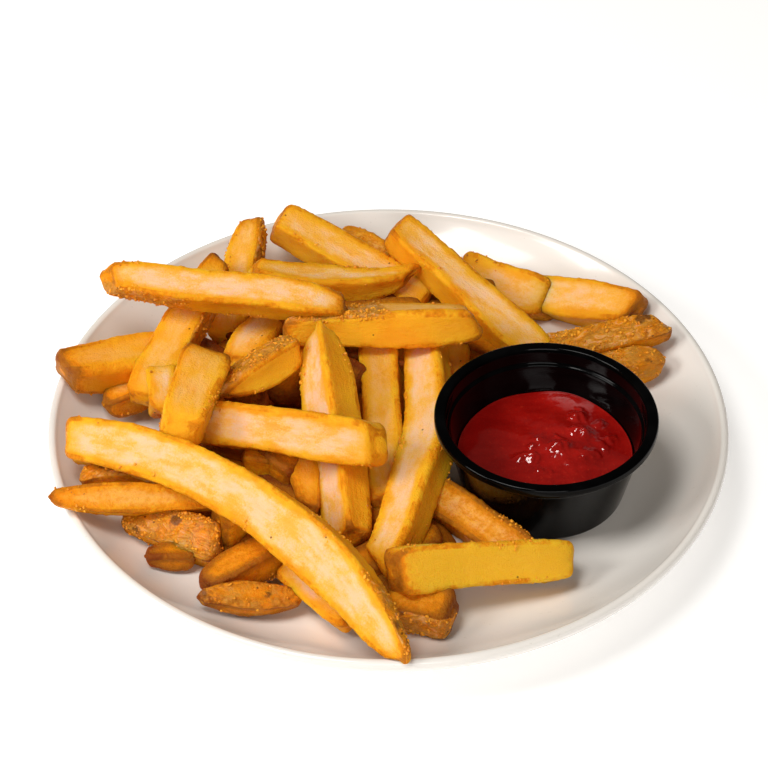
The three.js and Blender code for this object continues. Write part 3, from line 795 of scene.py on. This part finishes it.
def heap_core():
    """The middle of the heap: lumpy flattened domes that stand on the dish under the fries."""
    points, faces = [], []
    sides, rings = 48, 14
    for x, y, radius_x, radius_y, height in CORE_DOMES:
        first = len(points)
        for ring in range(rings):
            lift = math.pi / 2 * ring / rings
            for side in range(sides):
                angle = FULL_TURN * side / sides
                place = Vector((math.cos(angle) * radius_x, math.sin(angle) * radius_y, 0)) * math.cos(lift)
                place += Vector((x, y, PLATE_FLOOR + AIR + height * math.sin(lift)))
                bumps = noise.noise(place * 0.16) + 0.4 * noise.noise(place * 0.4)
                place.z = max(PLATE_FLOOR + AIR, place.z + 1.2 * bumps * math.sin(lift) - 0.6)
                points.append(place)
        points.append(Vector((x, y, PLATE_FLOOR + height - 0.6)))
        points.append(Vector((x, y, PLATE_FLOOR + AIR)))
        starts = [first + ring * sides for ring in range(rings)]
        for low, high in zip(starts, starts[1:]):
            faces += band(low, high, sides)
        top = first + rings * sides
        faces += fan(starts[-1], top, sides) + underfan(first, top + 1, sides)
    # Painted shade: the core is painted dark brown all over to stand for the shade in the gaps of the heap.
    colours = [(0.0, 0.0, CORE_PAINTED_SHADE, 0.0, 0.0, CORE_GAP, *(place * 0.1)) for place in points]
    return np.array(points), faces, np.array(colours)


def heap_of(name, laid):
    """Several laid fries joined as one object, with the values that colour them."""
    all_faces, total = [], 0
    for points, faces, _ in laid:
        all_faces += [tuple(point + total for point in face) for face in faces]
        total += len(points)
    made = new_object(name, np.concatenate([points for points, _, _ in laid]), all_faces)
    colours = np.concatenate([colours for _, _, colours in laid])
    for column, label in enumerate(("pale_and_painted_light", "lemon", "toasting_and_shade", "skin", "crumbling", "edge_gap")):
        store(made.data, label, colours[:, column])
    store(made.data, "grain", colours[:, 6:9], "FLOAT_VECTOR")
    return made


# --- Finishes -------------------------------------------------------------------------------


def glaze_material(settings):
    made, tree, shader = blank_material("white_glaze")
    where = object_place(tree)
    uneven = patches(tree, where, 38.0, 0.35, 0.7)
    duller = [0.985 * part for part in settings.colour]
    colour = blend_colour(tree, uneven, solid(settings.colour), solid(duller))
    height = put(tree, "ShaderNodeSeparateXYZ", {0: where}).outputs["Z"]
    bare = opposite(tree, spread(tree, height, 0.0004, 0.0009))
    colour = blend_colour(tree, bare, colour, solid((0.72, 0.68, 0.62)))
    pinholes = cloudy(tree, where, 900.0, 1.0)
    specks = times(tree, spread(tree, pinholes, 0.735, 0.76), 0.25)
    colour = blend_colour(tree, specks, colour, solid((0.6, 0.56, 0.5)))
    roughness = plus(tree, spread(tree, uneven, 0.0, 1.0, 0.16, 0.24), times(tree, bare, 0.5))
    ripple = plus(tree, cloudy(tree, where, 55.0, 2.0), times(tree, times(tree, pinholes, bare), 0.6))
    wire(tree, shader, colour, roughness, ripple, 0.00018, 0.5)
    set_sockets(shader, Coat_Weight=0.35, Coat_Roughness=0.08)
    return made


def black_plastic_material(settings):
    made, tree, shader = blank_material("black_plastic")
    where = object_place(tree)
    haze = patches(tree, where, 120.0, 0.4, 0.75)
    hazy = [1.8 * part + 0.0008 for part in settings.colour]
    colour = blend_colour(tree, haze, solid(settings.colour), solid(hazy))
    scuffs = cloudy(tree, stretched(tree, where, (1.0, 1.0, 0.12)), 520.0, 4.0)
    roughness = spread(tree, plus(tree, times(tree, haze, 0.4), scuffs), 0.4, 1.0, 0.08, 0.18)
    wire(tree, shader, colour, roughness, scuffs, 0.00003, 0.4)
    set_sockets(shader, Specular_IOR_Level=0.1)
    return made


def ketchup_material(settings):
    made, tree, shader = blank_material("ketchup")
    where = object_place(tree)
    streaks = patches(tree, stretched(tree, where, (1.0, 1.7, 1.0)), 95.0, 0.35, 0.7, 4.0)
    colour = blend_colour(tree, streaks, solid(settings.colour), solid(settings.thin_colour))
    pulp = cloudy(tree, where, 900.0, 2.0)
    colour = blend_colour(tree, spread(tree, pulp, 0.6, 0.75, 0.0, 0.35), colour, solid((0.55, 0.03, 0.012)))
    # Darker over the left half of the cup, most at its left edge, down to half the ketchup colour.
    aside = put(tree, "ShaderNodeSeparateXYZ", {0: where}).outputs["X"]
    deep = spread(tree, aside, 0.022, 0.044, 0.55, 0.0)
    colour = blend_colour(tree, deep, colour, solid([0.5 * part for part in settings.colour]))
    roughness = spread(tree, pulp, 0.3, 0.7, 0.05, 0.14)
    relief = plus(tree, cloudy(tree, where, 260.0, 2.0), times(tree, pulp, 0.25))
    wire(tree, shader, colour, roughness, relief, 0.0004, 0.5)
    set_sockets(shader, Subsurface_Weight=0.15, Subsurface_Scale=0.0015)
    set_sockets(shader, Subsurface_Radius=(1.0, 0.08, 0.05), Coat_Weight=0.8, Coat_Roughness=0.02)
    return made


def fried_potato_material(settings):
    made, tree, shader = blank_material("fried_potato")
    gold, lemon_gold, orange = solid(settings.gold), solid(settings.lemon), solid(settings.orange)
    butter, cream, brown = solid(settings.butter), solid(settings.cream), solid(settings.brown)
    bare_skin, dark_skin_and_shade, char = solid(settings.skin), solid(settings.skin_dark_and_shade), solid(settings.char)
    grain = attribute(tree, "grain", "Vector")
    pale, lemon = attribute(tree, "pale_and_painted_light"), attribute(tree, "lemon")
    toasting_and_shade, skin = attribute(tree, "toasting_and_shade"), attribute(tree, "skin")
    gap = attribute(tree, "edge_gap")

    # Gold sides with a deeper orange in patches.
    fibres = cloudy(tree, stretched(tree, grain, (3.0, 3.0, 0.7)), 2.2, 4.0, 0.6)
    blotches = patches(tree, grain, 0.9, 0.36, 0.64, 4.0)
    grit = cloudy(tree, grain, 22.0, 2.0)
    side_gold = blend_colour(tree, lemon, gold, lemon_gold)
    deep = times(tree, opposite(tree, lemon), times(tree, blotches, 0.7))
    sides = blend_colour(tree, deep, side_gold, orange)

    # Cream in clouds where the potato shows through, away from the edges, as far as the pale value allows.
    # That value is painted light, strongest on the side of a fry turned towards the lights.
    clouds = cloudy(tree, stretched(tree, grain, (1.4, 1.4, 0.8)), 1.5, 5.0, 0.6)
    wander = times(tree, calc(tree, "SUBTRACT", clouds, 0.5), 3.0)
    inside = spread(tree, plus(tree, gap, wander), 0.0, 2.6)
    cloud_cover = spread(tree, plus(tree, clouds, times(tree, grit, 0.3)), 0.48, 0.78, 0.3, 1.0)
    cream_share = times(tree, times(tree, pale, inside), cloud_cover)
    cream_share = times(tree, cream_share, spread(tree, fibres, 0.3, 0.6, 0.7, 1.0))
    colour = blend_colour(tree, spread(tree, cream_share, 0.0, 0.5), sides, butter)
    colour = blend_colour(tree, spread(tree, cream_share, 0.3, 0.95), colour, cream)

    # Browning: a thin broken line on every edge, the ends, and the crust's unevenness. The toast value also
    # carries painted shade: fries lying in shade, those underneath and the core are browned, and past 1 they
    # turn the dark skin colour, as painted shade.
    crust = cloudy(tree, grain, 7.0, 5.0, 0.6)
    line = opposite(tree, spread(tree, gap, 0.0, 0.55))
    line = times(tree, line, spread(tree, cloudy(tree, grain, 1.3, 4.0), 0.4, 0.62, 0.08, 0.42))
    rim = spread(tree, gap, 0.0, 2.8, 1.25, 0.65)
    toast_and_shade_level = plus(tree, times(tree, toasting_and_shade, rim), line)
    toast_and_shade_level = plus(tree, toast_and_shade_level, spread(tree, crust, 0.35, 0.7, -0.08, 0.11))
    colour = blend_colour(tree, spread(tree, toast_and_shade_level, 0.08, 0.5, 0.0, 0.95), colour, orange)
    colour = blend_colour(tree, spread(tree, toast_and_shade_level, 0.3, 1.0, 0.0, 0.95), colour, brown)
    colour = blend_colour(tree, spread(tree, toast_and_shade_level, 1.0, 1.6, 0.0, 0.9), colour, dark_skin_and_shade)

    # Skin is a browner orange, creased along the fry. Its ridges are painted pale as painted glints, and its
    # creases are painted dark, partly the skin's own colour and partly painted shade.
    creased = cloudy(tree, stretched(tree, grain, (2.0, 2.0, 1.0)), 2.5, 4.0, 0.6, 1.0)
    folded = calc(tree, "ABSOLUTE", calc(tree, "SUBTRACT", creased, 0.5))
    creases = opposite(tree, spread(tree, folded, 0.0, 0.05))
    mottle = cloudy(tree, grain, 2.4, 4.0, 0.6)
    skin_colour = blend_colour(tree, spread(tree, mottle, 0.36, 0.64), orange, bare_skin)
    wrinkled = spread(tree, skin, 0.55, 0.9, 0.1, 1.0)
    ridge_glints = times(tree, wrinkled, spread(tree, folded, 0.09, 0.17, 0.0, 0.32))
    skin_colour = blend_colour(tree, ridge_glints, skin_colour, cream)
    creases = times(tree, creases, times(tree, wrinkled, 0.45))
    skin_colour = blend_colour(tree, creases, skin_colour, dark_skin_and_shade)
    skinned = spread(tree, plus(tree, skin, spread(tree, crust, 0.3, 0.7, -0.2, 0.2)), 0.25, 0.6, 0.0, 0.9)
    colour = blend_colour(tree, skinned, colour, skin_colour)

    # Small dark specks, commoner on the skin and the browned parts.
    dots = put(tree, "ShaderNodeTexVoronoi", {"Vector": grain, "Scale": 3.2, "Randomness": 1.0}, feature="F1")
    near = opposite(tree, spread(tree, dots.outputs["Distance"], 0.05, 0.13))
    picked = put(tree, "ShaderNodeSeparateColor", {0: dots.outputs["Color"]}).outputs[0]
    likely = plus(tree, 0.07, plus(tree, times(tree, skin, 0.5), times(tree, toasting_and_shade, 0.12)))
    speck = times(tree, near, calc(tree, "LESS_THAN", picked, likely))
    colour = blend_colour(tree, times(tree, speck, 0.8), colour, char)
    eyes = put(tree, "ShaderNodeTexVoronoi", {"Vector": grain, "Scale": 1.5, "Randomness": 1.0}, feature="F1")
    ragged = plus(tree, eyes.outputs["Distance"], times(tree, crust, 0.16))
    lot = put(tree, "ShaderNodeSeparateColor", {0: eyes.outputs["Color"]}).outputs[1]
    chosen = calc(tree, "LESS_THAN", lot, 0.6)
    eye = times(tree, times(tree, skinned, chosen), spread(tree, ragged, 0.26, 0.38, 0.85, 0.0))
    colour = blend_colour(tree, eye, colour, char)

    roughness = plus(tree, spread(tree, crust, 0.3, 0.7, 0.4, 0.58), times(tree, pale, 0.05))
    rough_crust = times(tree, crust, spread(tree, plus(tree, toast_and_shade_level, skin), 0.0, 0.8, 0.35, 1.6))
    relief = plus(tree, times(tree, fibres, 0.7), rough_crust)
    relief = plus(tree, relief, times(tree, grit, 0.55))
    relief = calc(tree, "SUBTRACT", relief, times(tree, times(tree, creases, skinned), 0.8))
    relief = calc(tree, "SUBTRACT", relief, times(tree, speck, 0.5))
    wire(tree, shader, colour, roughness, relief, 0.0006, 0.75)
    tree.links.new(times(tree, skinned, 0.12), shader.inputs["Coat Weight"])
    set_sockets(shader, Coat_Roughness=0.25, Specular_IOR_Level=0.2)
    set_sockets(shader, Specular_Tint=(1.0, 0.75, 0.4, 1.0), Subsurface_Radius=(1.0, 0.5, 0.1))
    set_sockets(shader, Subsurface_Weight=0.6, Subsurface_Scale=0.005)
    return made


def crumb_material(settings):
    made, tree, shader = blank_material("fried_crumbs")
    where = object_place(tree)
    shade = patches(tree, where, 260.0, 0.35, 0.65)
    colour = blend_colour(tree, shade, solid(settings.orange), solid(settings.gold))
    dark = patches(tree, where, 170.0, 0.56, 0.66)
    colour = blend_colour(tree, times(tree, dark, 0.6), colour, solid(settings.brown))
    roughness = spread(tree, shade, 0.0, 1.0, 0.5, 0.65)
    wire(tree, shader, colour, roughness, cloudy(tree, where, 2200.0), 0.0002, 0.6)
    return made


# --- Crumbs ---------------------------------------------------------------------------------


def vector_calc(tree, operation, inputs):
    return put(tree, "ShaderNodeVectorMath", inputs, operation=operation).outputs[0]


def crumb_tree():
    """Geometry Nodes that scatter crumbs where the crust breaks up, and leave only the crumbs."""
    tree = bpy.data.node_groups.new("scatter_crumbs", "GeometryNodeTree")
    sockets = (
        ("Fries", "Geometry"), ("Crumbs per square metre", "Float"), ("Smallest", "Float"),
        ("Largest", "Float"), ("Seed", "Int"), ("Finish", "Material"),
    )
    for name, kind in sockets:
        tree.interface.new_socket(name=name, in_out="INPUT", socket_type=f"NodeSocket{kind}")
    tree.interface.new_socket(name="Crumbs", in_out="OUTPUT", socket_type="NodeSocketGeometry")
    entry = tree.nodes.new("NodeGroupInput").outputs
    seed = entry["Seed"]

    named = put(tree, "GeometryNodeInputNamedAttribute", {"Name": "crumbling"}, data_type="FLOAT")
    sharp = calc(tree, "POWER", named.outputs[0], 2.0)
    density = times(tree, sharp, entry["Crumbs per square metre"])
    inputs = {"Mesh": entry["Fries"], "Density": density, "Seed": seed}
    kind = "GeometryNodeDistributePointsOnFaces"
    scattered = put(tree, kind, inputs, distribute_method="RANDOM").outputs["Points"]

    lump = put(tree, "GeometryNodeMeshIcoSphere", {"Radius": 1.0, "Subdivisions": 2}).outputs["Mesh"]
    place = put(tree, "GeometryNodeInputPosition").outputs[0]
    inputs = {"Vector": place, "Scale": 0.9, "Detail": 2.0}
    uneven = put(tree, "ShaderNodeTexNoise", inputs).outputs["Color"]
    centred = vector_calc(tree, "SUBTRACT", {0: uneven, 1: (0.5, 0.5, 0.5)})
    moved = vector_calc(tree, "SCALE", {0: centred, "Scale": 1.6})
    lump = put(tree, "GeometryNodeSetPosition", {"Geometry": lump, "Offset": moved}).outputs[0]

    kind = "FunctionNodeRandomValue"
    inputs = {1: (FULL_TURN, FULL_TURN, FULL_TURN), "Seed": seed}
    turn = put(tree, kind, inputs, data_type="FLOAT_VECTOR").outputs[0]
    inputs = {2: entry["Smallest"], 3: entry["Largest"], "Seed": seed}
    size = put(tree, kind, inputs, data_type="FLOAT").outputs[1]
    inputs = {0: (0.6, 0.6, 0.4), 1: (1.4, 1.1, 0.9), "Seed": seed}
    squash = put(tree, kind, inputs, data_type="FLOAT_VECTOR").outputs[0]
    scale = vector_calc(tree, "SCALE", {0: squash, "Scale": size})
    inputs = {"Points": scattered, "Instance": lump, "Rotation": turn, "Scale": scale}
    copies = put(tree, "GeometryNodeInstanceOnPoints", inputs).outputs[0]
    real = put(tree, "GeometryNodeRealizeInstances", {"Geometry": copies}).outputs[0]
    inputs = {"Geometry": real, "Material": entry["Finish"]}
    finished = put(tree, "GeometryNodeSetMaterial", inputs).outputs[0]
    shaded = put(tree, "GeometryNodeSetShadeSmooth", {0: finished}).outputs[0]
    leave = tree.nodes.new("NodeGroupOutput")
    tree.links.new(shaded, leave.inputs["Crumbs"])
    return tree


def set_input(modifier, name, value):
    """Sets a Geometry Nodes input by the name of its socket."""
    for item in modifier.node_group.interface.items_tree:
        if item.name == name and item.in_out == "INPUT":
            modifier[item.identifier] = value
            return
    raise RuntimeError(f"the node tree has no input named {name}")


def scatter_crumbs(name, fries_name, tree, finish, settings):
    carrier = bpy.data.objects.new(name, bpy.data.objects[fries_name].data.copy())
    bpy.context.scene.collection.objects.link(carrier)
    modifier = carrier.modifiers.new("crumbs", "NODES")
    modifier.node_group = tree
    values = {
        "Crumbs per square metre": settings.density,
        "Smallest": settings.smallest,
        "Largest": settings.largest,
        "Seed": settings.seed,
        "Finish": finish,
    }
    for label, value in values.items():
        set_input(modifier, label, value)
    bpy.context.view_layer.update()
    evaluated = carrier.evaluated_get(bpy.context.evaluated_depsgraph_get())
    plain = bpy.data.meshes.new_from_object(evaluated)
    carrier.modifiers.remove(modifier)
    carrier.data = plain
    if not plain.polygons:
        raise RuntimeError(f"{name} came out empty")
    dress(carrier, finish, "fries")


# --- Settings -------------------------------------------------------------------------------


def colour_property(name, description, default):
    return FloatVectorProperty(
        name=name, description=description, default=default, subtype="COLOR", min=0, max=1, size=3
    )


def length_property(name, description, default):
    return FloatProperty(name=name, description=description, default=default, unit="LENGTH")


class PlateSettings(bpy.types.PropertyGroup):
    sides: IntProperty(name="Sides", description="Faces round the plate", default=224, min=48)
    colour: colour_property("Glaze", "Colour of the glaze", (0.86, 0.82, 0.77))


class CupSettings(bpy.types.PropertyGroup):
    sides: IntProperty(name="Sides", description="Faces round the cup", default=160, min=40)
    colour: colour_property("Plastic", "Colour of the plastic", (0.0008, 0.0008, 0.0009))


class KetchupSettings(bpy.types.PropertyGroup):
    sides: IntProperty(name="Sides", description="Faces round the ketchup", default=240, min=32)
    level: length_property("Level", "Height of the ketchup above the table", 0.021)
    fold_height: length_property("Folds", "Height of a fold of 1", 0.001)
    colour: colour_property("Ketchup", "Colour where it is deep", (0.27, 0.004, 0.003))
    thin_colour: colour_property("Thin ketchup", "Colour where it is thin", (0.38, 0.008, 0.005))


class FriesSettings(bpy.types.PropertyGroup):
    seed: IntProperty(name="Seed", description="Varies corners, ends and grain", default=11)
    spacing: length_property("Spacing", "Distance between rings along a fry", 0.0009)
    cream: colour_property("Cream", "Palest parts", (0.94, 0.58, 0.34))
    butter: colour_property("Butter", "Between cream and gold", (0.97, 0.5, 0.12))
    gold: colour_property("Gold", "Sides", (0.97, 0.42, 0.012))
    lemon: colour_property("Lemon", "Sides of the yellower fries", (0.88, 0.48, 0.025))
    orange: colour_property("Orange", "Deep patches and browned edges", (0.8, 0.262, 0.004))
    brown: colour_property("Brown", "Darkest browning", (0.36, 0.115, 0.007))
    skin: colour_property("Skin", "Potato skin", (0.62, 0.265, 0.03))
    # The dark skin colour is also the darkest painted shade, on the fries deep in the heap and in the skin's
    # creases.
    skin_dark_and_shade: colour_property("Dark skin", "Creases of the skin", (0.2, 0.04, 0.005))
    char: colour_property("Specks", "Small dark specks", (0.1, 0.028, 0.007))


class CrumbSettings(bpy.types.PropertyGroup):
    density: FloatProperty(
        name="Crumbs per square metre", description="Crumbs on a fully broken crust", default=460000, min=0
    )
    smallest: length_property("Smallest", "Smallest crumb's radius", 0.00015)
    largest: length_property("Largest", "Largest crumb's radius", 0.0006)
    seed: IntProperty(name="Seed", description="Varies where the crumbs are", default=4)


class StageSettings(bpy.types.PropertyGroup):
    elevation: FloatProperty(
        name="Elevation",
        description="Camera's height as an angle",
        default=math.radians(41.24),
        unit="ROTATION",
    )
    distance: length_property("Distance", "From the camera to the lip of the plate", 0.8374)
    lens: FloatProperty(
        name="Lens", description="Focal length in millimetres on a 36 mm sensor", default=140.6
    )
    floor_colour: colour_property("Floor", "Colour of the floor", (0.95, 0.95, 0.95))


# --- Operators ------------------------------------------------------------------------------


class MakePlate(bpy.types.Operator):
    """Turn the glazed plate"""

    bl_idname = "fries.make_plate"
    bl_label = "Make plate"

    def execute(self, context):
        settings = context.scene.fries_plate
        made = turned("glazed_plate", plate_profile(), settings.sides)
        dress(made, glaze_material(settings), "plate")
        return {"FINISHED"}


class MakeCup(bpy.types.Operator):
    """Turn the black portion cup"""

    bl_idname = "fries.make_cup"
    bl_label = "Make portion cup"

    def execute(self, context):
        settings = context.scene.fries_cup
        made = turned("portion_cup", cup_profile(), settings.sides, CUP_CENTRE)
        dress(made, black_plastic_material(settings), "dip_cup")
        return {"FINISHED"}


class MakeKetchup(bpy.types.Operator):
    """Pour the ketchup"""

    bl_idname = "fries.make_ketchup"
    bl_label = "Make ketchup"

    def execute(self, context):
        settings = context.scene.fries_ketchup
        made = new_object("ketchup_pool", *ketchup_surface(settings))
        dress(made, ketchup_material(settings), "ketchup")
        return {"FINISHED"}


class MakeFries(bpy.types.Operator):
    """Heap the fries: those underneath, those on the plate and those on top"""

    bl_idname = "fries.make_fries"
    bl_label = "Make fries"

    def execute(self, context):
        settings = context.scene.fries_fries
        finish = fried_potato_material(settings)
        spacing = settings.spacing / MM
        # The fries underneath and the filling are browned all over to stand for the shade deep in the heap:
        # painted shade.
        groups = (
            ("fries_underneath", FRIES_UNDERNEATH, 0.7, 1.8),
            ("fries_filling", FRIES_FILLING, 1.35, 1.8),
            ("fries_on_plate", FRIES_ON_PLATE, 0.0, 1.0),
            ("fries_on_top", FRIES_ON_TOP, 0.0, 1.0),
        )
        index = 0
        for name, rows, extra_toast_and_shade, coarseness in groups:
            laid = []
            for row in rows:
                laid.append(lay_fry(row, index, spacing * coarseness, settings, extra_toast_and_shade))
                index += 1
            if name == "fries_filling":
                laid.append(heap_core())
            dress(heap_of(name, laid), finish, "fries")
        return {"FINISHED"}


class MakeCrumbs(bpy.types.Operator):
    """Scatter crumbs of crust along the edges of the fries"""

    bl_idname = "fries.make_crumbs"
    bl_label = "Make crumbs"

    def execute(self, context):
        settings = context.scene.fries_crumbs
        tree = crumb_tree()
        finish = crumb_material(context.scene.fries_fries)
        scatter_crumbs("crumbs_on_top", "fries_on_top", tree, finish, settings)
        scatter_crumbs("crumbs_on_plate", "fries_on_plate", tree, finish, settings)
        return {"FINISHED"}


class MakeStage(bpy.types.Operator):
    """Set the floor, the lights and the camera"""

    bl_idname = "fries.make_stage"
    bl_label = "Make stage"

    def execute(self, context):
        settings = context.scene.fries_stage
        corners = [(x * FLOOR_REACH, y * FLOOR_REACH, 0) for x, y in ((-1, -1), (1, -1), (1, 1), (-1, 1))]
        floor = new_object("floor", corners, [(0, 1, 2, 3)])
        paper, tree, shader = blank_material("pale_floor")
        tone = patches(tree, object_place(tree), 3.0, 0.3, 0.7)
        dimmer = [0.985 * part for part in settings.floor_colour]
        colour = blend_colour(tree, tone, solid(settings.floor_colour), solid(dimmer))
        tree.links.new(colour, shader.inputs["Base Color"])
        set_sockets(shader, Roughness=0.8, Specular_IOR_Level=0.1)
        set_sockets(shader, Emission_Color=(1.0, 1.0, 1.0, 1.0), Emission_Strength=0.34)
        floor.data.materials.append(paper)

        place_light("overhead", (-0.26, -0.2, 0.9), 0.34, 4.35, (1.0, 0.985, 0.96))
        place_light("side", (-0.78, -0.26, 0.66), 0.34, 4.6, (1.0, 0.985, 0.96))
        place_light("front", (0.1, -1.1, 0.6), 0.6, 4.4, (1.0, 0.99, 0.98))
        surround(context.scene)

        camera_data = bpy.data.cameras.new("camera")
        camera_data.lens = settings.lens
        camera_data.sensor_width = 36
        camera_data.clip_start = 0.01
        camera = bpy.data.objects.new("camera", camera_data)
        context.scene.collection.objects.link(camera)
        turn = Matrix.Rotation(math.pi / 2 - settings.elevation, 4, "X")
        turn = turn @ Matrix.Rotation(math.radians(CAMERA_ROLL), 4, "Z")
        away = Vector((0, -math.cos(settings.elevation), math.sin(settings.elevation))) * settings.distance
        aside = turn.to_3x3() @ Vector(CAMERA_ASIDE) * MM
        camera.matrix_world = Matrix.Translation(Vector((0, 0, PLATE_HEIGHT * MM)) + away + aside) @ turn
        context.scene.camera = camera
        context.scene.view_settings.view_transform = "Standard"
        return {"FINISHED"}


def place_light(name, position, size, watts, colour):
    """A square soft light aimed at the plate."""
    data = bpy.data.lights.new(name, "AREA")
    data.size = size
    data.energy = watts
    data.color = colour
    lamp = bpy.data.objects.new(name, data)
    bpy.context.scene.collection.objects.link(lamp)
    lamp.location = position
    lamp.rotation_euler = (-Vector(position)).to_track_quat("-Z", "Y").to_euler()


def surround(scene):
    """An even warm surround that shiny things reflect only faintly."""
    world = bpy.data.worlds.new("surround")
    world.use_nodes = True
    tree = world.node_tree
    shine = put(tree, "ShaderNodeLightPath").outputs["Is Glossy Ray"]
    strength = put(tree, "ShaderNodeMapRange", {0: shine, 3: 0.17, 4: 0.04}).outputs[0]
    background = tree.nodes["Background"]
    background.inputs["Color"].default_value = (1.0, 0.9, 0.76, 1.0)
    tree.links.new(strength, background.inputs["Strength"])
    scene.world = world


class FriesPanel(bpy.types.Panel):
    """Lists the pieces and their settings"""

    bl_idname = "VIEW3D_PT_fries"
    bl_label = "Fries"
    bl_space_type = "VIEW_3D"
    bl_region_type = "UI"
    bl_category = "Fries"

    def draw(self, context):
        for operator, group in PIECES:
            box = self.layout.box()
            settings = getattr(context.scene, group)
            for name in settings.__annotations__:
                box.prop(settings, name)
            box.operator(operator.bl_idname)


PIECES = (
    (MakePlate, "fries_plate"),
    (MakeCup, "fries_cup"),
    (MakeKetchup, "fries_ketchup"),
    (MakeFries, "fries_fries"),
    (MakeCrumbs, "fries_crumbs"),
    (MakeStage, "fries_stage"),
)
SETTINGS = (
    ("fries_plate", PlateSettings),
    ("fries_cup", CupSettings),
    ("fries_ketchup", KetchupSettings),
    ("fries_fries", FriesSettings),
    ("fries_crumbs", CrumbSettings),
    ("fries_stage", StageSettings),
)


def register():
    for name, group in SETTINGS:
        bpy.utils.register_class(group)
        setattr(bpy.types.Scene, name, PointerProperty(type=group))
    for operator, _ in PIECES:
        bpy.utils.register_class(operator)
    bpy.utils.register_class(FriesPanel)


def unregister():
    bpy.utils.unregister_class(FriesPanel)
    for operator, _ in reversed(PIECES):
        bpy.utils.unregister_class(operator)
    for name, group in reversed(SETTINGS):
        delattr(bpy.types.Scene, name)
        bpy.utils.unregister_class(group)


def plain(box):
    return [[float(value) for value in corner] for corner in box]


def main():
    register()
    for operator, _ in PIECES:
        group, action = operator.bl_idname.split(".")
        getattr(getattr(bpy.ops, group), action)()


if __name__ == "__main__":
    main()
